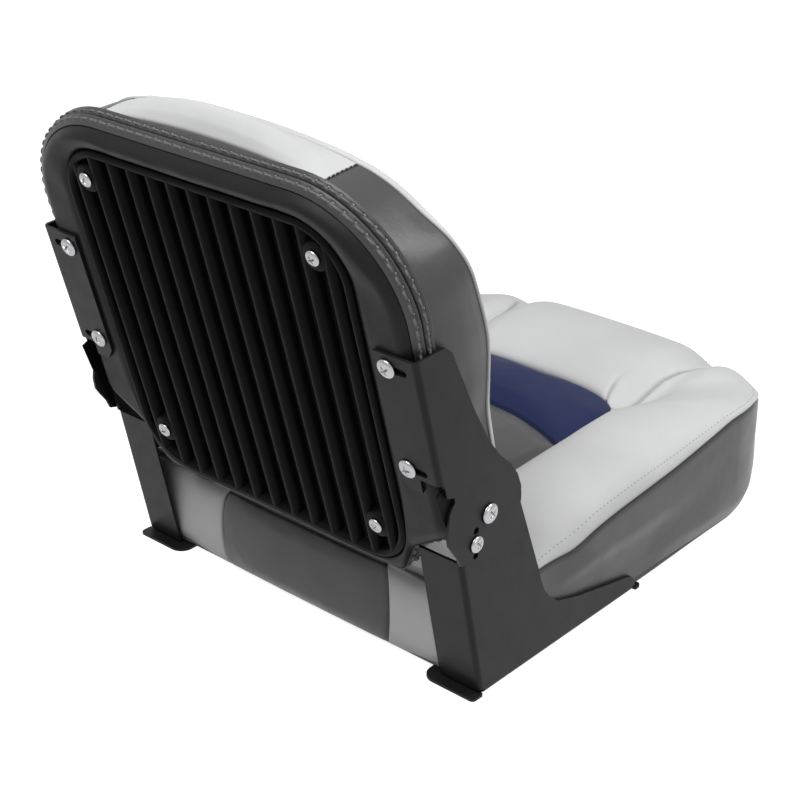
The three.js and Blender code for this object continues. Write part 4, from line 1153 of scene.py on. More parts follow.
    def insert(self, start: Callable[[Array], Array], stop: Callable[[Array], Array], rows: int,
               cols: int) -> tuple[Array, Array, Array]:
        """A piece of the insert between two lines across it.

        Args:
            start: Length of the line nearer the open end, at a share of the width.
            stop: Length of the other line.
            rows: Points along.
            cols: Points across.
        Returns:
            Place across, along and up of each point.
        """
        share = np.sin(np.linspace(-math.pi / 2, math.pi / 2, cols))[None, :]
        t = (1 - np.cos(np.linspace(0, math.pi, rows)))[:, None] / 2
        l = start(share) + (stop(share) - start(share)) * t
        puff = np.clip(np.sin(math.pi * t), 0, 1) ** 0.5 * np.clip(1 - share**2, 0, 1) ** 0.5
        low = self.insert_height(np.broadcast_to(l, (rows, cols)))
        tuck = np.clip(1 - np.minimum(np.minimum(t, 1 - t), 1 - np.abs(share)) * 60, 0, 1)
        x = np.broadcast_to(share * (self.insert_half - self.insert_gap), (rows, cols))
        return x, l, low + self.insert_crown * puff - self.insert_tuck * tuck

    def insert_end(self, share: Array) -> Array:
        """Length of the insert's rounded closed end at a share of its width."""
        bow = np.maximum(1 - np.abs(share) ** 3, 0) ** (1 / 3)
        return self.insert_corner - self.insert_gap + (self.insert_depth - self.insert_gap) * bow

    def insert_split(self, share: Array) -> Array:
        """Length of the seam between the insert's two pieces at a share of its width."""
        return self.split + self.split_bow * (1 - share**2)


@dataclass
class Upholsterer:
    """What every padded part of the seat needs to be made."""

    maker: Maker
    scatter: Scatter
    finishes: Finishes
    insert_cloth: Swelling = Swelling((34, 34), 2.0, 0.003, 2.0)

    def pad(self, piece: Object, body: Body, nodes: Sequence[str], slot: str,
            fill: float = 0.75) -> None:
        """Put a padded piece on what carries it, hide the part's pieces that it replaces, and log its faces.

        Args:
            piece: The piece.
            body: What carries it.
            nodes: The part's pieces that it replaces.
            slot: Its material slot; not used.
            fill: How tight it is, from 0 to 1; not used.
        """
        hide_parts(*nodes)
        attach(piece, body.value)
        log.info("padded piece %s: %d faces", piece.name, len(piece.data.polygons))

    def trim(self, piece: Object, body: Body, slot: str, nodes: Sequence[str] = ()) -> None:
        """Put a piece that isn't padded on what carries it, hide the part's pieces that it replaces, and log
        its faces.

        Args:
            piece: The piece.
            body: What carries it.
            slot: Its material slot; not used.
            nodes: The part's pieces that it replaces.
        """
        if nodes:
            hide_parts(*nodes)
        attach(piece, body.value)
        log.info("piece %s: %d faces", piece.name, len(piece.data.polygons))

    def stitches(self, name: str, line: Array, out: Array, index: Array, unit: Mesh,
                 finish: Material, lift: float = 0.0) -> Object:
        """Sew a row of stitches along a line.

        Args:
            name: The piece's name.
            line: Points in metres.
            out: The way out of the cover at each point.
            index: Where each stitch sits, as fractions between the numbers of the line's points.
            unit: One stitch.
            finish: Its thread.
            lift: How far the row stands off the line, in millimetres.
        Returns:
            The object.
        """
        numbers = np.arange(len(line))
        places = np.stack([np.interp(index, numbers, line[:, k]) for k in range(3)], -1)
        up = np.stack([np.interp(index, numbers, out[:, k]) for k in range(3)], -1)
        low = np.clip(np.floor(index).astype(int), 0, len(line) - 2)
        way = line[low + 1] - line[low]
        return self.scatter.bake(name, unit, places + up * lift * MM, way, up, finish)

    def insert_pieces(self, plan: Cushion, body: Body, names: tuple[str, str]) -> None:
        """Make the charcoal and navy pieces of an insert.

        Args:
            plan: The cushion.
            body: What carries it.
            names: Their names, charcoal first.
        """
        rear = plan.insert(lambda s: 0 * s, lambda s: plan.insert_split(s) - plan.insert_gap, 110, 120)
        front = plan.insert(plan.insert_split, plan.insert_end, 60, 120)
        looks = (self.finishes.charcoal, "charcoal_vinyl"), (self.finishes.navy, "navy_vinyl")
        for name, (x, l, h), (finish, slot) in zip(names, (rear, front), looks):
            grid = plan.place(x, l, h)
            grid = billowed(grid, body, self.insert_cloth)
            under = plan.place(x[:, [-1, 0]], l[:, [-1, 0]], np.full((x.shape[0], 2), plan.base))
            # Painted shade along the insert piece's seams.
            piece = self.maker.cover(name, grid, under, finish, seam=framed(x.shape, 0.8, 0.8))
            self.pad(piece, body, [name], slot)


def piping(maker: Maker, name: str, line: Array, radius: float, finish: Material,
           sides: int = 8) -> Object:
    """A thin round cord along a line.

    Args:
        maker: Where the piece goes.
        name: The piece's name.
        line: Points in metres.
        radius: Its radius in millimetres.
        finish: Its material.
        sides: Points round it.
    Returns:
        The object.
    """
    way = np.gradient(line, axis=0)
    way /= np.linalg.norm(way, axis=1, keepdims=True)
    first = np.cross(way, np.array([0.3, 0.5, 0.81]))
    first /= np.linalg.norm(first, axis=1, keepdims=True)
    second = np.cross(way, first)
    angle = np.arange(sides) * 2 * math.pi / sides
    ring = first[:, None] * np.cos(angle)[None, :, None] + second[:, None] * np.sin(angle)[None, :, None]
    grid = line[:, None] + ring * radius * MM
    return maker.cover(name, grid[:, :-1], grid[:, -1:], finish)


# The seat


@dataclass
class Seat:
    """The cushion of the seat: roll, insert, boxing and rear covers."""

    kit: Upholsterer
    plan: Cushion = field(default_factory=lambda: Cushion(
        half_width=206.6, length=489, corner=112, bow=3, base=62, wall=8, depth=139, insert_half=112.7,
        insert_corner=285, insert_depth=50, split=221, split_bow=28, insert_crown=7,
        widths=((0, 1), (1, 1)),
        seam=((0, 0.6), (0.22, 0.6), (0.3, 0.67), (0.36, 0.7), (0.456, 0.73), (0.54, 0.755), (0.667, 0.815),
              (0.755, 0.86), (0.82, 0.865), (0.89, 0.81), (0.95, 0.72), (1, 0.64)),
        crown=((0, 0.64), (0.1, 0.665), (0.16, 0.71), (0.22, 0.8), (0.33, 0.905), (0.6, 0.945), (0.77, 0.95),
               (0.86, 0.905), (0.93, 0.87), (1, 0.957)),
        insert_seam=((0, 0.6), (0.1, 0.64), (0.18, 0.72), (0.35, 0.77), (0.5, 0.785), (0.66, 0.8),
                     (0.75, 0.815), (0.87, 0.825), (1, 0.83)),
        swell=7, swells=((0, 0), (0.16, 0), (0.3, 0.9), (0.5, 1), (1, 1)), place=LIE.seat, valley=13))
    low_swell: float = 6.0
    low_swells: Table = ((0, 0), (0.46, 0), (0.72, 1), (1, 1))
    arm_top: float = 47.0
    # The fourth number of each fold is its painted crease shade.
    folds: tuple[Fold, ...] = (
        Fold(((101, 309), (111, 320), (112, 356), (111, 396), (114, 424), (122, 452), (130, 475)), 2.0, 1.9,
             0.7, (0.05, 0.1)),
        Fold(((95, 314), (89, 335), (86, 350), (84, 372)), 1.5, 2.2, 0.5, (0.05, 0.5)),
    )
    roll_cloth: Swelling = Swelling((150, 22), 1.6, 0.002, 1.6, 4.0)
    roll_columns: int = 72
    # Top stitching: its column and margins in the roll's grid, its pitch, and a stitch's length and radius
    stitch_column: int = 62
    stitch_margin: int = 12
    stitch_pitch: float = 5.2
    stitch: tuple[float, float] = (1.9, 0.4)
    lowest: float = 0.4
    box_cloth: Swelling = Swelling((150, 14), 1.2, 0.002, 1.2, 4.0)
    box_loose: Table = ((0, 0), (0.3, 0), (0.75, 1), (1, 1))
    box_rows: int = 46
    box_round: float = 0.62
    box_gap: float = 0.5
    box_middle: float = 0.4
    # Rows of height, shares of the lower swell and of the rest, and millimetres at the front and everywhere
    box_marks: tuple[tuple[float, ...], ...] = (
        (0.4, 0, 0, -1.0, -4.0), (4.4, 0.6, 0, -3.0, 0), (12.0, 0.8, 0, -1.0, 0), (23.5, 1, 0, 0.8, 0),
        (47.0, 1, 0.3, 1.4, 0),
    )
    box_tuck: tuple[float, float] = (2.5, 1.8)  # height and depth of the tuck under the seam
    cord: float = 2.1
    cord_inset: float = 1.5
    cord_rear: tuple[float, float] = (198.0, 4.5)  # half width behind the seat, and how far behind
    rear_cloth: Swelling = Swelling((36, 16), 1.2, 0.004, 1.5)
    rear_at: float = 235.1
    rear_columns: int = 44
    rear_bow: tuple[float, float] = (7.0, 1.05)  # how far the seams bow out, and over what share of a wave
    rear_tuck: tuple[float, float] = (0.03, 2.2)  # width share and depth of the tucks at the seams
    centre_half: float = 98.0
    rear_half: float = 203.0
    rear_thick: float = 7.4
    rear_bulge: float = 7.0
    rear_bulge_half: float = 158.0
    rear_top: float = 80.0

    def build(self) -> None:
        """Make every cover of the seat."""
        self.roll()
        self.kit.insert_pieces(self.plan, Body.BASE, ("seat_insert_rear", "seat_insert_front"))
        self.boxing()
        self.rear_walls()

    def roll(self) -> None:
        """The light grey roll with its front seams, folds and top stitching."""
        edge = self.plan.edge()
        out = self.plan.out(edge)
        x, l, h = self.plan.roll(edge, self.roll_columns, out)
        grid = billowed(self.plan.place(x, l, h), Body.BASE, self.roll_cloth)
        grid, dark = pressed(grid, Body.BASE, (x, l), self.folds)
        # Painted shade along the roll's two edge seams, on top of the painted crease shade.
        dark[:, [0, -1]] = 0.9
        under = self.plan.roll_under(edge)
        piece = self.kit.maker.cover("seat_roll", grid, under, self.kit.finishes.light, seam=dark)
        self.kit.pad(piece, Body.BASE, ["seat_bolster"], "light_vinyl")
        normal = facing_out(grid, Body.BASE)
        sewn = slice(self.stitch_margin, -self.stitch_margin), self.stitch_column
        row = self.kit.stitches("seat_top_stitching", grid[sewn], normal[sewn],
                                spaced(grid[sewn], self.stitch_pitch), stitch_unit(*self.stitch),
                                self.kit.finishes.grey_thread)
        self.kit.trim(row, Body.BASE, "light_vinyl")

    def boxing(self) -> None:
        """The charcoal wall round the sides and the front, and the cord along its lower edge."""
        plan, edge = self.plan, self.plan.edge()
        high = plan.out(edge)[:, None]
        front = eased(self.low_swells, edge.l / plan.length)[:, None]
        low = self.low_swell * front
        top = plan.seam_height(edge)[:, None] - self.box_gap
        middle = self.arm_top + (top - self.arm_top) * self.box_middle
        angle = np.linspace(0, math.pi * self.box_round, self.box_rows)[None, :]
        h = self.lowest + (top - self.lowest) * (1 - np.cos(angle)) / (1 - np.cos(angle[:, -1:]))
        marks = [(at, low * a + (high - low) * b + front * c + e) for at, a, b, c, e in self.box_marks]
        d = np.zeros((len(edge.x), self.box_rows))
        for k in range(len(edge.x)):
            table = [(at, value[k, 0]) for at, value in marks]
            d[k] = eased(table + [(middle[k, 0], high[k, 0]), (top[k, 0], high[k, 0])], h[k])
        reach, deep = self.box_tuck
        d -= np.clip(1 - (top - h) / reach, 0, 1) ** 2 * deep
        grid = plan.place(*edge.at(d), h)
        loose = eased(self.box_loose, edge.l / plan.length)[:, None, None]
        grid = grid + (billowed(grid, Body.BASE, self.box_cloth) - grid) * loose
        # Painted shade along the boxing's top seam.
        dark = np.zeros(d.shape)
        dark[:, -1] = 0.9
        hidden = edge.at(-plan.wall * np.ones((len(edge.x), 2)))
        under = plan.place(*hidden, np.tile([plan.base - self.box_gap, self.lowest], (len(edge.x), 1)))
        piece = self.kit.maker.cover("seat_boxing_cover", grid, under, self.kit.finishes.charcoal, seam=dark)
        self.kit.pad(piece, Body.BASE, ["seat_boxing"], "charcoal_vinyl", 0.6)
        ex, el = edge.at(-self.cord_inset * (1 + front[:, 0]))
        rear, behind = np.linspace(0, self.cord_rear[0], 40), -self.cord_rear[1] * np.ones(40)
        x, l = np.concatenate([rear, ex, -rear[::-1]]), np.concatenate([behind, el, behind])
        line = plan.place(x, l, 0 * x + self.cord)
        cord = piping(self.kit.maker, "seat_edge_cord", line, self.cord, self.kit.finishes.charcoal)
        self.kit.trim(cord, Body.BASE, "charcoal_vinyl")

    def rear_walls(self) -> None:
        """The charcoal centre and the light sides of the rear."""
        dark, light = self.kit.finishes.charcoal, self.kit.finishes.light
        self.rear_wall("seat_rear_centre_cover", (-1, 1), 90, dark, "seat_rear_panel", "charcoal_vinyl")
        self.rear_wall("seat_rear_cover_left", (1, 2), 50, light, "seat_rear_side_panel_left", "light_vinyl")
        self.rear_wall("seat_rear_cover_right", (-2, -1), 50, light, "seat_rear_side_panel_right",
                       "light_vinyl")

    def rear_wall(self, name: str, span: tuple[float, float], rows: int, finish: Material,
                  node: str, slot: str) -> None:
        """One cover of the rear.

        Args:
            name: The piece's name.
            span: Where it starts and ends: 1 is the seam beside the centre and 2 the end of the rear.
            rows: Its stations.
            finish: Its material.
            node: The part's piece that it replaces.
            slot: Its material slot.
        """
        t = np.linspace(0, 1, self.rear_columns)[None, :]
        share = np.linspace(*span, rows)[:, None]
        bow, stretch = self.rear_bow
        seam = self.centre_half + bow * np.sin(math.pi * np.clip(t * stretch, 0, 1))
        past = np.clip(np.abs(share) - 1, 0, 1) * (self.rear_half - seam)
        x = np.sign(share) * (np.clip(np.abs(share), 0, 1) * seam + past)
        angle = math.pi * t
        swell = 0.3 + 0.7 * np.clip(np.sin(angle), 0, 1) ** 0.6
        near, deep = self.rear_tuck
        edge = np.minimum(np.abs(share - span[0]), np.abs(share - span[1]))
        tuck = deep * np.clip(1 - edge / near, 0, 1) ** 2
        bulge = self.rear_bulge * np.clip(1 - (x / self.rear_bulge_half) ** 2, 0, 1)
        y = self.rear_at + (self.rear_thick + bulge) * swell - tuck
        z = self.lowest + (self.rear_top - self.lowest) * (1 - np.cos(angle)) / 2
        grid = np.stack(np.broadcast_arrays(x, y, z), -1) * MM
        grid = billowed(grid, Body.BASE, self.rear_cloth)
        ends = np.stack([x[:, -1], x[:, 0]], 1)
        heights = np.tile([self.rear_top, self.lowest], (rows, 1))
        under = np.stack([ends, np.full(ends.shape, self.rear_at), heights], -1) * MM
        # Painted shade along the cover's side seams.
        piece = self.kit.maker.cover(name, grid, under, finish, seam=framed(grid.shape[:2], 0.8, 0))
        self.kit.pad(piece, Body.BASE, [node], slot, 0.6)


# The backrest


@dataclass
class Backrest:
    """The padded backrest: facing, band, rim, roll and insert."""

    kit: Upholsterer
    plan: Cushion = field(default_factory=lambda: Cushion(
        half_width=205.5, length=364, corner=97, bow=2, base=55.6, wall=18, depth=88, insert_half=112,
        insert_corner=258, insert_depth=48, split=226, split_bow=30, insert_crown=6,
        widths=((0, 0.652), (0.04, 0.662), (0.09, 0.69), (0.14, 0.73), (0.18, 0.8), (0.21, 0.9),
                (0.235, 0.97), (0.26, 1), (1, 1)),
        seam=((0, 0.72), (0.15, 0.8), (0.4, 0.83), (0.6, 0.98), (0.75, 0.935), (0.88, 0.846), (1, 0.775)),
        crown=((0, 0.8), (0.15, 0.92), (0.4, 1), (0.6, 1.045), (0.75, 0.96), (0.88, 0.97), (1, 0.93)),
        insert_seam=((0, 0.74), (0.15, 0.83), (0.5, 0.88), (0.8, 0.86), (1, 0.84)),
        swell=10, place=LIE.back,
        swells=((0, 0.05), (0.36, 0.04), (0.5, 0.28), (0.735, 0.17), (0.83, -0.18), (0.92, -0.94),
                (1, -0.77))))
    rim_bulge: float = 5.0
    rim_bulges: Table = ((0, 0.2), (0.36, 0.12), (0.5, 0.4), (0.62, 0.88), (0.735, 0.72), (0.83, 0.36),
                         (0.92, 0.06), (1, 0.06))
    dome_half: float = 125.0
    dome_bulge: float = 18.0
    dome_welt: float = 9.0
    half_width: float = 205.5
    top: float = 474.0
    bottom: float = 109.0
    tongue: float = 142.0
    waist: float = 161.0
    waist_height: float = 147.0
    shoulder: float = 176.0
    corner: float = 96.0
    waist_round: float = 20.0
    low_round: float = 17.0
    seam_depth: float = 7.2
    ear_room: float = 206.2  # half width that the cord keeps to beside the lower brackets
    ear_top: float = 225.0
    border: float = 26.4
    bulge: float = 7.6
    bulges: Table = ((0, 0.2), (0.47, 0.2), (0.53, 0.72), (0.74, 0.72), (0.81, 1), (1, 1))
    section: Table = ((0, 0.05), (0.05, 0.34), (0.12, 0.52), (0.28, 0.74), (0.43, 0.74), (0.5, 0.6),
                      (0.57, 0.8), (0.72, 0.99), (0.86, 1.0), (0.95, 0.93), (1, 0.7))
    rim_section: Table = ((0, 0.35), (0.2, 0.8), (0.5, 1), (0.78, 0.62), (1, 0))
    end_half: float = 134.0
    end_thick: float = 4.0
    end_cloth: Swelling = Swelling((44, 8), 1.0, 0.004, 1.0)
    roll_cloth: Swelling = Swelling((150, 20), 1.6, 0.002, 1.6, 4.0)
    rim_cloth: Swelling = Swelling((70, 14), 1.2, 0.002, 1.2, 4.0)
    rim_tuck: tuple[float, float] = (0.04, 1.4)  # width share and depth
    seam_gap: float = 0.9
    facing_cloth: Swelling = Swelling((190, 9), 1.0, 0.006, 1.2)
    facing_shares: Table = ((0, 0), (0.32, 0.34), (0.48, 0.5), (0.72, 0.76), (0.86, 0.87), (1, 1))
    shell_shares: Table = ((0, 0), (0.34, 0.34), (0.5, 0.5), (0.76, 0.76), (0.87, 0.87), (1, 1))
    facing_free: Table = ((0, 0), (0.83, 0), (0.93, 1), (1, 1))
    facing_loose: Table = ((0, 0), (0.8, 0), (0.9, 1), (1, 1))
    facing_top: float = 1.7
    facing_shoulder: float = 12.0
    facing_swell: float = 3.2
    facing_tuck: tuple[float, float] = (3.0, 0.2)  # depth and width share
    board: float = 12.4
    groove: tuple[float, float, float] = (0.5, 0.022, 1.2)  # place and width in shares, and depth
    ridge: tuple[float, float] = (0.7, 0.045)  # height, and width as a share of the band
    puff: tuple[float, float] = (0.9, 0.09)
    hole: tuple[float, float, float] = (0.7, 0.9, 0.035)  # depth of its row, extra depth, and width share
    crumple: float = 0.6
    crumples: Table = ((0, 1), (0.3, 1), (0.36, 0), (1, 0))
    crumple_length: float = 3.0
    # Length and radius of a puff of cord and of the stitches
    cord: tuple[float, float] = (8.2, 0.95)
    sewing: tuple[float, float] = (2.3, 0.5)
    top_sewing: tuple[float, float] = (3.2, 0.8)
    top_pitch: float = 4.6
    piping: float = 1.5
    stitch_pitch: float = 11.0
    # Ridge, holes and puffs of each strip, as shares of the band
    strips: tuple[tuple[float, float, float], ...] = ((0.42, 0.3, 0.15), (0.9, 0.76, 0.62))
    panel_half: float = 160.0
    panel_bottom: float = 119.0
    panel_top: float = 455.0
    panel_round: float = 50.0

    def outline(self) -> Array:
        """The backrest's outline from the top's middle round the +X side to the bottom's middle.

        Returns:
            Rows of place across, up, and the way out.
        """
        corners = [
            (self.half_width, self.top, self.corner), (self.half_width, self.shoulder, self.low_round),
            (self.waist, self.waist_height, self.waist_round), (self.tongue, self.bottom, self.low_round),
        ]
        return rounded((0.0, self.top), corners, (0.0, self.bottom))

    def panel_outline(self, inset: float = 0.0) -> Array:
        """The shell's outline, the same way round.

        Args:
            inset: How far it is drawn in.
        Returns:
            Rows of place across, up, and the way out.
        """
        half, r = self.panel_half - inset, self.panel_round - inset
        corners = [(half, self.panel_top - inset, r), (half, self.panel_bottom + inset, r)]
        return rounded((0.0, self.panel_top - inset), corners, (0.0, self.panel_bottom + inset))

    def build(self) -> None:
        """Make every cover of the backrest."""
        self.facing()
        self.band()
        self.rim()
        self.end_panel()
        self.roll()
        self.kit.insert_pieces(self.plan, Body.BACKREST, ("back_insert_lower", "back_insert_upper"))

    def ring(self, half: Array) -> Array:
        """The whole closed outline from its +X half."""
        return np.concatenate([half, half[-2:0:-1] * np.array([-1, 1, -1, 1])])

    def facing(self) -> None:
        """The facing between the band and the shell, in a darker copy of the charcoal vinyl: painted shade.
        """
        outer = self.ring(evened(self.outline(), 260, self.facing_shares))
        inner = self.ring(evened(self.panel_outline(-0.3), 260, self.shell_shares))
        t = (np.linspace(0, 1, 26) ** 1.25)[None, :]
        x = outer[:, :1] + (inner[:, :1] - outer[:, :1]) * t
        s = outer[:, 1:2] + (inner[:, 1:2] - outer[:, 1:2]) * t
        wide = np.hypot(outer[:, 0] - inner[:, 0], outer[:, 1] - inner[:, 1])[:, None] * t
        shoulder = 1 - np.clip(1 - wide / self.facing_shoulder, 0, 1) ** 2
        free = eased(self.facing_free, outer[:, 1] / self.top)[:, None]
        deep, near = self.facing_tuck
        out = -self.seam_depth + (self.seam_depth - self.facing_top) * shoulder
        out += free * self.facing_swell * np.sin(math.pi * np.clip(t, 0, 1)) ** 1.2
        out -= deep * np.clip((t - 1 + near) / near, 0, 1) ** 2
        grid = LIE.shell(x, out, s)
        loop = np.concatenate([grid, grid[:1]])
        swollen = billowed(loop, Body.BACKREST, self.facing_cloth)[:-1]
        grid = grid + (swollen - grid) * eased(self.facing_loose, outer[:, 1] / self.top)[:, None, None]
        # Painted shade along the facing's seam with the band.
        dark = np.zeros(x.shape)
        dark[:, 0] = 0.9
        hidden = np.stack([inner[:, :2], outer[:, :2] * (0.985, 0.99) + (0, 2)], 1)
        under = LIE.shell(hidden[..., 0], np.full(hidden.shape[:2], -self.board), hidden[..., 1])
        # The facing takes the darker copy of the charcoal vinyl, standing in for its shade.
        piece = self.kit.maker.cover("back_facing_cover", grid, under, self.kit.finishes.black, loop=True,
                                     seam=dark)
        self.kit.pad(piece, Body.BACKREST, ["back_facing"], "charcoal_vinyl", 0.5)

    def sewn(self, t: Array, phase: Array) -> tuple[Array, Array]:
        """The ridges, puffs and stitch holes of the band's two strips.

        Args:
            t: Share of the way from the facing to the rim.
            phase: Place along the band, in stitches.
        Returns:
            How far each point stands out, in millimetres, and its painted shade in the stitch holes.
        """
        gap = 1 - 2 * np.abs(phase % 1.0 - 0.5)
        puff = 1 - np.clip((gap - 0.5) / 0.5, 0, 1) ** 2
        hole = bell(gap, 1.0, 0.3)
        relief, dark = 0 * t * gap, 0 * t * gap
        shallow, more, wide = self.hole
        (ridge_high, ridge_wide), (puff_high, puff_wide) = self.ridge, self.puff
        for ridge, holes, puffs in self.strips:
            relief += ridge_high * bell(t, ridge, ridge_wide) + puff_high * bell(t, puffs, puff_wide) * puff
            relief -= (shallow + more * hole) * bell(t, holes, wide)
            # Painted shade in the stitch holes.
            dark = np.maximum(dark, (0.45 + 0.5 * hole) * bell(t, holes, wide))
        return relief, dark

    def band(self) -> None:
        """Two sewn strips round the backrest's edge, with stitches between a ridge and puffs."""
        ring = self.ring(evened(self.outline(), 520, ((0, 0), (1, 1))))
        closed = np.concatenate([ring, ring[:1]])
        length = np.concatenate([[0], np.cumsum(np.linalg.norm(np.diff(closed[:, :2], axis=0), axis=1))])
        count, cols = round(length[-1] / self.stitch_pitch), 72
        phase = length / length[-1] * count
        t = np.linspace(0, 1, cols)[None, :]
        bulge = (self.bulge * eased(self.bulges, ring[:, 1] / self.top))[:, None]
        relief, dark = self.sewn(t, phase[:-1, None])
        middle, width, deep = self.groove
        crumple = self.crumple * eased(self.crumples, ring[:, 1] / self.top)[:, None]
        wave = np.sin(length[:-1, None] / self.crumple_length + 3.0 * t) * np.sin(math.pi * t)
        d = 0.3 + bulge * eased(self.section, t) + relief - deep * bell(t, middle, width) + crumple * wave
        n = -self.seam_depth - (self.border - self.seam_depth) * t
        grid = LIE.shell(ring[:, :1] + ring[:, 2:3] * d, n + 0 * d, ring[:, 1:2] + ring[:, 3:4] * d)
        # Painted shade in the groove between the strips and along both seams.
        dark = np.maximum(dark, 0.9 * bell(t, middle, width))
        dark[:, [0, -1]] = 0.9
        inset = np.array([[13.7, 13.7, -0.3]])
        behind = np.array([[-self.border, -13.1, -13.1]]) + 0 * ring[:, :1]
        under = LIE.shell(ring[:, :1] - ring[:, 2:3] * inset, behind, ring[:, 1:2] - ring[:, 3:4] * inset)
        piece = self.kit.maker.cover("back_band_cover", grid, under, self.kit.finishes.charcoal, loop=True,
                                     seam=dark)
        self.kit.pad(piece, Body.BACKREST, ["back_band"], "charcoal_vinyl", 0.6)
        index = np.interp(np.arange(count) + 0.5, phase, np.arange(len(phase)))
        self.band_threads(np.concatenate([grid, grid[:1]]), index)

    def band_threads(self, grid: Array, index: Array) -> None:
        """The corded puffs and the stitches of the two strips.

        Args:
            grid: The band's closed grid in metres.
            index: Where each stitch sits, as fractions between the numbers of its stations.
        """
        normal = facing_out(grid, Body.BACKREST)
        cord, sewing = stitch_unit(*self.cord), stitch_unit(*self.sewing)
        for side, (_, holes, puffs) in zip(("rear", "front"), self.strips):
            column = round(puffs * (grid.shape[1] - 1))
            line = grid[:, column].copy()
            beside = line[:, 2] < self.ear_top * MM
            line[beside, 0] = np.clip(line[beside, 0], -self.ear_room * MM, self.ear_room * MM)
            between = index[:-1] + 0.5 * np.diff(index)
            made = self.kit.stitches(f"band_cord_{side}", line, normal[:, column], between, cord,
                                     self.kit.finishes.corded_thread, 0.1)
            self.kit.trim(made, Body.BACKREST, "charcoal_vinyl")
            # Stitches at the holes: real thread, coloured pale as a painted highlight.
            column = round((holes + 0.015) * (grid.shape[1] - 1))
            made = self.kit.stitches(f"band_stitching_{side}", grid[:, column], normal[:, column], index,
                                     sewing, self.kit.finishes.highlight_thread, 0.5)
            self.kit.trim(made, Body.BACKREST, "charcoal_vinyl")

    def dome(self, edge: Edge) -> Array:
        """Share of the dome over the middle of the top at each point of the edge."""
        return np.maximum(1 - (edge.x / self.dome_half) ** 2, 0)

    def welt(self, edge: Edge) -> Array:
        """How far the front seam stands past the edge."""
        return self.plan.out(edge) + self.dome_welt * self.dome(edge)

    def rim_out(self, edge: Edge) -> Array:
        """How far the rim's wall bulges past the edge."""
        bulge = self.rim_bulge * eased(self.rim_bulges, edge.l / self.plan.length)
        return bulge + self.dome_bulge * self.dome(edge)

    def rim(self) -> None:
        """The charcoal sides and the light top between the band and the front, with piping and stitching."""
        plan, kit, edge = self.plan, self.kit, self.plan.edge()
        turn = plan.side_points + round(plan.arc_points * 7 / 8)
        count, low = len(edge.x), self.border + 0.4
        t = np.linspace(0, 1, 40)[None, :]
        near, deep = self.rim_tuck
        tuck = np.clip(1 - t / near, 0, 1) ** 2 + np.clip(1 - (1 - t) / near, 0, 1) ** 2
        d = self.rim_out(edge)[:, None] * eased(self.rim_section, t)
        d += self.welt(edge)[:, None] * t - deep * tuck
        whole = plan.place(*edge.at(d), low + (plan.seam_height(edge)[:, None] - self.seam_gap - low) * t)
        hidden = edge.at(-plan.wall * np.ones((count, 2)))
        under = plan.place(*hidden, np.tile([plan.base, low], (count, 1)))
        charcoal, light = kit.finishes.charcoal, kit.finishes.light
        for name, start, stop, finish, node, slot in (
            ("back_side_cover_left", 0, turn, charcoal, "back_side_panel_left", "charcoal_vinyl"),
            ("back_top_cover", turn, count - turn, light, "back_top_panel", "light_vinyl"),
            ("back_side_cover_right", count - turn, count, charcoal, "back_side_panel_right",
             "charcoal_vinyl"),
        ):
            grid = billowed(whole[start:stop], Body.BACKREST, self.rim_cloth)
            # Painted shade along the cover's seams.
            dark = framed(grid.shape[:2], 0.7, 0.8)
            piece = kit.maker.cover(name, grid, under[start:stop], finish, seam=dark)
            kit.pad(piece, Body.BACKREST, [node], slot, 0.7)
        self.rim_trim(edge, whole, turn)

    def rim_trim(self, edge: Edge, whole: Array, turn: int) -> None:
        """The pale piping along the front seam and the dark stitches of the two top seams.

        Args:
            edge: The edge of the backrest's cushion.
            whole: The rim's grid in metres.
            turn: Where the top cover starts.
        """
        kit = self.kit
        line = self.plan.place(*edge.at(self.welt(edge) - 0.2), self.plan.seam_height(edge) - 0.3)
        cord = piping(kit.maker, "back_piping", line, self.piping, kit.finishes.light)
        kit.trim(cord, Body.BACKREST, "light_vinyl")
        normal = facing_out(whole, Body.BACKREST)
        for side, row in (("left", turn), ("right", len(edge.x) - 1 - turn)):
            line = whole[row, 1:-1]
            stitched = kit.stitches(f"top_seam_stitching_{side}", line, normal[row, 1:-1],
                                    spaced(line, self.top_pitch), stitch_unit(*self.top_sewing),
                                    kit.finishes.dark_thread, 0.1)
            kit.trim(stitched, Body.BACKREST, "charcoal_vinyl")

    def end_panel(self) -> None:
        """The charcoal cover over the backrest's open lower end."""
        plan = self.plan
        low, high = self.border + 0.4, plan.depth * plan.seam[0][1] - self.seam_gap
        x = np.linspace(-self.end_half, self.end_half, 90)[:, None]
        t = np.linspace(0, 1, 24)[None, :]
        swell = np.sin(math.pi * t) ** 0.5 * np.clip((self.end_half - np.abs(x)) / 12, 0, 1) ** 0.5
        grid = plan.place(x, -0.3 - self.end_thick * (0.3 + 0.7 * swell), low + (high - low) * t)
        grid = billowed(grid, Body.BACKREST, self.end_cloth)
        under = plan.place(np.repeat(x, 2, 1), -0.3 + 0 * x, np.array([[high, low]]))
        # Painted shade along the cover's seams.
        dark = framed(grid.shape[:2], 0.7, 0.8)
        piece = self.kit.maker.cover("back_end_cover", grid, under, self.kit.finishes.charcoal, seam=dark)
        self.kit.pad(piece, Body.BACKREST, ["back_end_panel"], "charcoal_vinyl", 0.6)

    def roll(self) -> None:
        """The light grey roll at the front of the backrest."""
        plan, edge = self.plan, self.plan.edge()
        x, l, h = plan.roll(edge, 60, self.welt(edge))
        grid = billowed(plan.place(x, l, h), Body.BACKREST, self.roll_cloth)
        under = plan.roll_under(edge)
        # Painted shade along the roll's seams.
        piece = self.kit.maker.cover("back_roll", grid, under, self.kit.finishes.light,
                                     seam=framed(x.shape, 0, 0.9))
        self.kit.pad(piece, Body.BACKREST, ["back_bolster"], "light_vinyl")


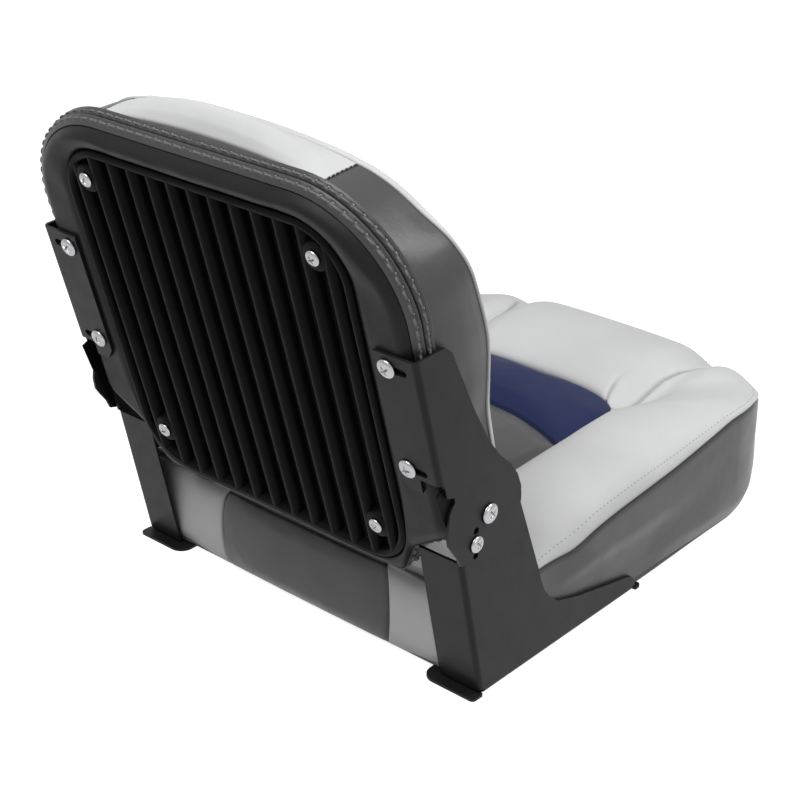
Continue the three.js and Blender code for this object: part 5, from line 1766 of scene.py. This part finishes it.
def rounded(start: tuple[float, float], corners: Sequence[tuple[float, float, float]],
            stop: tuple[float, float], steps: int = 26) -> Array:
    """A line with rounded corners, dense enough to look smooth.

    Args:
        start: Its first point.
        corners: Place and radius of each corner, run clockwise.
        stop: Its last point.
        steps: Points in each corner.
    Returns:
        Rows of place across, up, and the way out.
    """
    nodes = [np.array(point[:2], float) for point in (start, *corners, stop)]
    rows: list[tuple[float, float]] = [tuple(nodes[0])]
    for k, (_, _, radius) in enumerate(corners, 1):
        before = (nodes[k - 1] - nodes[k]) / np.linalg.norm(nodes[k - 1] - nodes[k])
        after = (nodes[k + 1] - nodes[k]) / np.linalg.norm(nodes[k + 1] - nodes[k])
        half = math.acos(float(np.clip(before @ after, -1, 1))) / 2
        reach = radius / math.tan(half)
        centre = nodes[k] + (before + after) / np.linalg.norm(before + after) * radius / math.sin(half)
        a, b = nodes[k] + before * reach - centre, nodes[k] + after * reach - centre
        from_angle, to_angle = math.atan2(a[1], a[0]), math.atan2(b[1], b[0])
        sweep = (to_angle - from_angle + math.pi) % (2 * math.pi) - math.pi
        for step in np.linspace(0, 1, steps):
            angle = from_angle + sweep * step
            rows.append((centre[0] + radius * math.cos(angle), centre[1] + radius * math.sin(angle)))
    rows.append(tuple(nodes[-1]))
    points = np.array(rows)
    points = points[np.concatenate([[True], np.linalg.norm(np.diff(points, axis=0), axis=1) > TINY])]
    way = np.gradient(points, axis=0)
    way[0], way[-1] = (1, 0), (-1, 0)
    way /= np.linalg.norm(way, axis=1, keepdims=True)
    return np.column_stack([points, -way[:, 1], way[:, 0]])


def evened(line: Array, count: int, shares: Table) -> Array:
    """Read a line at places spread over its length by a table of shares.

    Args:
        line: Rows of place across, up, and the way out.
        count: How many places.
        shares: Share of the count, and share of the length there.
    Returns:
        The rows there.
    """
    length = np.concatenate([[0], np.cumsum(np.linalg.norm(np.diff(line[:, :2], axis=0), axis=1))])
    at = eased(shares, np.linspace(0, 1, count)) * length[-1]
    read = np.stack([np.interp(at, length, line[:, k]) for k in range(4)], -1)
    read[:, 2:] /= np.linalg.norm(read[:, 2:], axis=1, keepdims=True)
    return read


# Shell, hinges and screws


@dataclass
class Shell:
    """The ribbed plastic shell behind the backrest, in millimetres."""

    kit: Upholsterer
    back: Backrest
    pitch: float = 23.5
    count: int = 13
    rib_width: float = 13.0
    depth: float = 9.5
    rib_square: float = 0.9
    rib_sides: int = 15
    rib_foot: float = 1.0
    rib_inset: float = 5.0
    floor_inset: float = 24.0
    board: float = 12.4
    # Sections of the rim: how far out of the outline, and how far behind the rib crests
    rim: Table = ((-0.3, -12.4), (0.0, -6.0), (0.1, -3.2), (-0.6, -1.5), (-2.0, -0.35), (-3.8, 0.0),
                  (-5.6, -0.35), (-7.0, -1.6), (-7.9, -4.0), (-8.6, -8.4), (-10.2, -9.5), (-26.0, -9.5))
    rim_back: Table = ((-26.0, -12.4), (-12.0, -12.4))
    screw_x: float = 129.0
    screw_heights: tuple[float, float] = (425.4, 160.4)
    boss: float = 13.0
    # Section of a boss: share of its radius, and height
    boss_section: Table = ((0, 0), (0.5, 0), (0.82, -0.1), (0.93, -0.6), (0.99, -1.8), (1.02, -4),
                           (1.08, -9.6), (0, -9.6))

    def build(self) -> None:
        """Make the tray, its ribs and its bosses."""
        kit = self.kit
        outline = self.back.ring(evened(self.back.panel_outline(), 200, ((0, 0), (1, 1))))
        shown, hidden = self.around(outline, self.rim), self.around(outline, self.rim_back)
        rim = kit.maker.cover("shell_rim", shown, hidden, kit.finishes.plastic, loop=True)
        joined = joined_piece("ribbed_shell", [rim, self.floor_plate(outline), self.ribs(), self.bosses()])
        kit.trim(joined, Body.BACKREST, "black_plastic", ["ribbed_panel"])

    def around(self, outline: Array, section: Table) -> Array:
        """Carry a section round an outline.

        Args:
            outline: Rows of place across, up, and the way out.
            section: How far out of it and behind the rib crests.
        Returns:
            The points in metres.
        """
        out, back = np.array(section).T
        across, up, way_x, way_up = outline.T[..., None]
        return LIE.shell(across + way_x * out, back, up + way_up * out)

    def floor_plate(self, outline: Array) -> Object:
        """The flat floor inside the rim.

        Args:
            outline: Rows of place across, up, and the way out.
        Returns:
            The object.
        """
        x, up = (outline[:, :2] - outline[:, 2:] * self.floor_inset).T
        n = len(x)
        verts = np.concatenate([LIE.shell(x, -self.depth, up), LIE.shell(x, 0.1 - self.board, up)])
        faces: list[list[int]] = [list(range(n)), [n + k for k in range(n)][::-1]]
        faces += [[k, n + k, n + (k + 1) % n, (k + 1) % n] for k in range(n)]
        return self.kit.maker.piece("shell_floor", verts, faces, self.kit.finishes.plastic)

    def reach(self, x: float, level: float) -> float:
        """How far up and down a rib runs before it meets the rim.

        Args:
            x: Its place across.
            level: Half the shell's height.
        Returns:
            Half the rib's length.
        """
        half, r = self.back.panel_half - self.rib_inset, self.back.panel_round - self.rib_inset
        over = max(abs(x) - (half - r), 0.0)
        return level - self.rib_inset - r + math.sqrt(max(r * r - over * over, 0.0))

    def ribs(self) -> Object:
        """Thirteen upright round ribs.

        Returns:
            The object.
        """
        top, bottom = self.back.panel_top, self.back.panel_bottom
        x = (np.arange(self.count) - (self.count - 1) / 2) * self.pitch
        lengths = np.array([2 * self.reach(place, (top - bottom) / 2) for place in x])
        angle = np.linspace(0, math.pi, self.rib_sides)
        across = self.rib_width / 2 * np.concatenate([[1], np.cos(angle), [-1]])
        high = np.concatenate([[-self.rib_foot], self.depth * np.sin(angle) ** self.rib_square,
                               [-self.rib_foot]])
        n = len(across)
        verts = [(end, a * MM, b * MM) for end in (-0.5, 0.5) for a, b in zip(across, high)]
        faces = [tuple(range(n))[::-1], tuple(n + k for k in range(n))]
        faces += [(k, (k + 1) % n, n + (k + 1) % n, n + k) for k in range(n)]
        size = np.stack([lengths * MM, np.ones(len(x)), np.ones(len(x))], -1)
        unit = shaped("rib", np.array(verts), faces)
        return self.set_out("shell_ribs", unit, x, -self.depth, (top + bottom) / 2, size)

    def set_out(self, name: str, unit: Mesh, x: Array, out: float, up: Array | float,
                size: Array | None = None) -> Object:
        """Copies of a unit on the shell, upright and facing out of it."""
        points, along, outward = LIE.shell(x, out, up), np.array(LIE.up()), np.array(LIE.rear())
        return self.kit.scatter.bake(name, unit, points, along, outward, self.kit.finishes.plastic, size)

    def screw_places(self) -> Array:
        """Where the four shell screws sit, across and up."""
        return np.array([(sign * self.screw_x, s) for s in self.screw_heights for sign in (-1, 1)], float)

    def bosses(self) -> Object:
        """A round boss under each screw.

        Returns:
            The object.
        """
        unit = turned([(a * self.boss * MM, b * MM) for a, b in self.boss_section], 40)
        x, up = self.screw_places().T
        return self.set_out("shell_bosses", unit, x, 0.0, up)


def joined_piece(name: str, parts: Sequence[Object]) -> Object:
    """Join pieces of one finish into one object.

    Args:
        name: The new piece's name.
        parts: What it is made of.
    Returns:
        The object.
    """
    mesh = bpy.data.meshes.new(name)
    edited(mesh, *(lambda work, part=part: work.from_mesh(part.data) for part in parts))
    mesh.materials.append(parts[0].data.materials[0])
    for part in parts:
        bpy.data.objects.remove(part)
    mesh.set_sharp_from_angle(angle=math.radians(45))
    return linked(name, mesh)


@dataclass
class Hinges:
    """The pressed steel brackets, and every screw and bolt that shows, in millimetres."""

    kit: Upholsterer
    shell: Shell
    edge_round: float = 0.55
    flange_x: float = 184.0
    flange_heights: tuple[float, float] = (344.0, 246.0)
    flange_rear: float = 1.5
    plate_x: float = 215.3
    pivot: tuple[float, float] = (247.6, 179.4)
    stop: tuple[float, float] = (263.3, 157.4)
    head_gap: float = 0.3
    washer_round: float = 0.3
    merge: float = 2e-5
    flat: float = math.radians(1.0)
    sharp: float = math.radians(40)
    shell_screw: Head = Head(6.9, 3.6, 3.0, 24.0)
    flange_screw: Head = Head(8.6, 4.3, 3.0, 27.0)
    pivot_bolt: Head = Head(9.0, 4.6, 3.8, 14.0)
    stop_bolt: Head = Head(7.5, 4.0, 2.7, 14.0)

    def build(self, nodes: dict[str, Object]) -> None:
        """Make the brackets and the screws.

        Args:
            nodes: The part's own pieces.
        """
        steel, plastic = self.kit.finishes.steel, self.kit.finishes.plastic
        for side in ("left", "right"):
            self.softened(nodes[f"lower_bracket_{side}"], Body.BASE, steel, "black_steel", self.edge_round)
            self.softened(nodes[f"upper_bracket_{side}"], Body.BACKREST, steel, "black_steel",
                          self.edge_round)
            self.softened(nodes[f"hinge_washer_{side}"], Body.BACKREST, plastic, "black_plastic",
                          self.washer_round)
        self.screws()

    def softened(self, node: Object, body: Body, finish: Material, slot: str,
                 width: float) -> None:
        """Copy a pressed piece and round its edges a little.

        Args:
            node: The part's own piece.
            body: What carries it.
            finish: Its material.
            slot: Its material slot.
            width: Radius of its edges.
        """
        name, mesh = node.name, node.data.copy()
        mesh.materials.clear()
        edited(
            mesh, lambda work: bmesh.ops.remove_doubles(work, verts=work.verts, dist=self.merge),
            lambda work: bmesh.ops.dissolve_limit(work, angle_limit=self.flat, verts=work.verts,
                                                  edges=work.edges),
        )
        mesh.shade_smooth()
        holder = linked(name + "_work", mesh)
        bevel = holder.modifiers.new("round", "BEVEL")
        bevel.width, bevel.segments = width * MM, 3
        bevel.limit_method, bevel.angle_limit = "ANGLE", self.sharp
        holder.modifiers.new("even", "WEIGHTED_NORMAL").keep_sharp = False
        baked = bpy.data.meshes.new_from_object(holder.evaluated_get(bpy.context.evaluated_depsgraph_get()))
        bpy.data.objects.remove(holder)
        baked.materials.clear()
        baked.materials.append(finish)
        self.kit.trim(linked(name + "_finished", baked), body, slot, [name])

    def screws(self) -> None:
        """The screws of the shell and the flanges, and the pivots and stops."""
        x, up = self.shell.screw_places().T
        points = LIE.shell(x, self.head_gap, up)
        self.rear_screws("shell_screws", self.shell_screw, points, (0.3, 1.1, 0.7, 0.2), "panel")
        x, up = np.array([(sign * self.flange_x, s) for s in self.flange_heights for sign in (-1, 1)]).T
        points = LIE.shell(x, self.flange_rear + self.head_gap, up)
        self.rear_screws("flange_screws", self.flange_screw, points, (0.5, 0.9, 0.2, 1.3), "bracket")
        self.side_bolts("pivot", self.pivot, self.pivot_bolt, Body.BASE)
        self.side_bolts("stop", self.stop, self.stop_bolt, Body.BACKREST)

    def rear_screws(self, name: str, head: Head, points: Array, turns: Sequence[float], node: str) -> None:
        """Four screws that face out of the shell.

        Args:
            name: The piece's name.
            head: Their shape.
            points: Their places in metres.
            turns: How far each one's cross is turned.
            node: The first part of the names of the pieces that they replace.
        """
        kit, up, side = self.kit, np.array(LIE.up()), np.array([1.0, 0, 0])
        ways = np.stack([np.cos(a) * up + np.sin(a) * side for a in turns])
        made = kit.scatter.bake(name, head.unit(), points, ways, np.array(LIE.rear()), kit.finishes.zinc)
        kit.trim(made, Body.BACKREST, "bright_steel", [f"{node}_screw_{k}" for k in range(1, 5)])

    def side_bolts(self, name: str, place: tuple[float, float], head: Head, body: Body) -> None:
        """A pair of bolts through the side plates.

        Args:
            name: First part of their names.
            place: Their place along Y and up.
            head: Their shape.
            body: What carries them.
        """
        kit = self.kit
        points = np.array([[sign * self.plate_x, *place] for sign in (1, -1)]) * MM
        up = np.array([[1.0, 0, 0], [-1.0, 0, 0]])
        ways = np.array([[0, math.cos(a), math.sin(a)] for a in (0.4, 0.9)])
        made = kit.scatter.bake(f"{name}_bolts", head.unit(), points, ways, up, kit.finishes.zinc)
        kit.trim(made, body, "bright_steel", [f"{name}_bolt_left", f"{name}_bolt_right"])


def dress(nodes: dict[str, Object], finishes: Finishes) -> None:
    """Give each piece of the part that stays shown its own finish.

    Args:
        nodes: The part's own pieces.
        finishes: The materials.
    """
    endings = {"_board": finishes.ply, "_foam": finishes.foam}
    fixings = ("nut", "screw", "bolt")
    for name, node in nodes.items():
        finish = finishes.zinc if any(word in name for word in fixings) else finishes.steel
        for ending, other in endings.items():
            finish = other if name.endswith(ending) else finish
        node.data.materials.clear()
        node.data.materials.append(finish)


# Stage


@dataclass
class Studio:
    """The floor, the lights and the camera at the photograph's view."""

    camera_at: tuple[float, float, float] = (-0.99475, 1.23996, 0.90374)
    azimuth: float = 41.416
    elevation: float = 26.327
    roll: float = 0.175
    lens: float = 81.33
    sensor: float = 36.0
    clip: tuple[float, float] = (0.05, 50.0)
    ambient: float = 0.08
    floor_glow: float = 0.88
    floor_tone: float = 0.5
    floor_half: float = 6.0
    floor_z: float = -0.0031
    aim: tuple[float, float, float] = (0.0, 0.05, 0.2)
    # Name, direction, distance in metres, size and power of each lamp
    lamps: tuple[tuple[str, tuple[float, float, float], float, float, float], ...] = (
        ("key", (-0.6, -0.4, 0.7), 2.6, 1.1, 34.0), ("top", (0.0, 0.55, 1.0), 2.4, 1.5, 50.0),
        ("side", (-1.0, 0.0, 0.3), 2.6, 1.0, 7.0),
    )

    def seen(self, tree: NodeTree) -> NodeSocket:
        """One for the rays of the camera, of mirrors and of glass, and zero for the rest.

        Args:
            tree: The material's or the world's tree.
        Returns:
            The socket.
        """
        path = tree.nodes.new("ShaderNodeLightPath")
        total = path.outputs["Is Camera Ray"]
        for name in ("Is Glossy Ray", "Is Transmission Ray"):
            either = tree.nodes.new("ShaderNodeMath")
            either.operation = "MAXIMUM"
            tree.links.new(total, either.inputs[0])
            tree.links.new(path.outputs[name], either.inputs[1])
            total = either.outputs[0]
        return total

    def build(self) -> None:
        """Set the stage."""
        self.floor()
        self.lights()
        self.camera()
        bpy.context.scene.view_settings.view_transform = "Standard"

    def floor(self) -> None:
        """A wide pale floor that keeps a soft shadow."""
        half, z = self.floor_half, self.floor_z
        corners = [(-half, -half, z), (half, -half, z), (half, half, z), (-half, half, z)]
        mesh = shaped("floor", corners, [(0, 1, 2, 3)])
        shader = Shader("pale floor")
        plain = shader.surface.outputs[0]
        shader.finished(Base_Color=(*[self.floor_tone] * 3, 1), Roughness=0.9, Specular_IOR_Level=0.1)
        glow = shader.node("ShaderNodeEmission", Color=(1, 1, 1, 1), Strength=self.floor_glow).outputs[0]
        both, mix = shader.node("ShaderNodeAddShader"), shader.node("ShaderNodeMixShader")
        for value, socket in (
            (plain, both.inputs[0]), (glow, both.inputs[1]), (self.seen(shader.tree), mix.inputs[0]),
            (plain, mix.inputs[1]), (both.outputs[0], mix.inputs[2]),
            (mix.outputs[0], shader.tree.nodes["Material Output"].inputs[0]),
        ):
            shader.feed(socket, value)
        mesh.materials.append(shader.material)
        linked("floor", mesh)

    def lights(self) -> None:
        """Soft lamps and a pale world."""
        world = bpy.data.worlds.new("studio")
        world.use_nodes = True
        tree = world.node_tree
        back = tree.nodes["Background"]
        back.inputs[0].default_value = (1, 1, 1, 1)
        level = tree.nodes.new("ShaderNodeMapRange")
        level.inputs["To Min"].default_value = self.ambient
        level.inputs["To Max"].default_value = 1.0
        tree.links.new(self.seen(tree), level.inputs["Value"])
        tree.links.new(level.outputs["Result"], back.inputs[1])
        bpy.context.scene.world = world
        for name, way, far, size, power in self.lamps:
            lamp = bpy.data.lights.new(name, "AREA")
            lamp.energy, lamp.size = power, size
            where = Vector(way).normalized() * far
            made = linked(name, lamp)
            made.location = where + Vector(self.aim)
            made.rotation_mode = "QUATERNION"
            made.rotation_quaternion = where.to_track_quat("Z", "Y")

    def camera(self) -> None:
        """The camera of the photograph."""
        a, e, roll = (math.radians(angle) for angle in (self.azimuth, self.elevation, self.roll))
        look = Vector((math.sin(a) * math.cos(e), -math.cos(a) * math.cos(e), -math.sin(e)))
        right = look.cross(Vector((0, 0, 1))).normalized()
        up = right.cross(look)
        c, s = math.cos(roll), math.sin(roll)
        right, up = c * right + s * up, c * up - s * right
        data = bpy.data.cameras.new("camera")
        data.lens, data.sensor_width = self.lens, self.sensor
        data.clip_start, data.clip_end = self.clip
        made = linked("camera", data)
        turn = Matrix((right, up, -look)).transposed().to_4x4()
        made.matrix_world = Matrix.Translation(Vector(self.camera_at)) @ turn
        bpy.context.scene.camera = made


def main() -> None:
    """Build the dressed seat."""
    logging.basicConfig(level=logging.INFO, format="%(message)s")
    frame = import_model()
    finishes = Finishes()
    dress(frame["nodes"], finishes)
    Studio().build()
    maker = Maker()
    kit = Upholsterer(maker, Scatter(maker), finishes)
    Seat(kit).build()
    back = Backrest(kit)
    back.build()
    shell = Shell(kit, back)
    shell.build()
    Hinges(kit, shell).build(frame["nodes"])


if __name__ == "__main__":
    main()
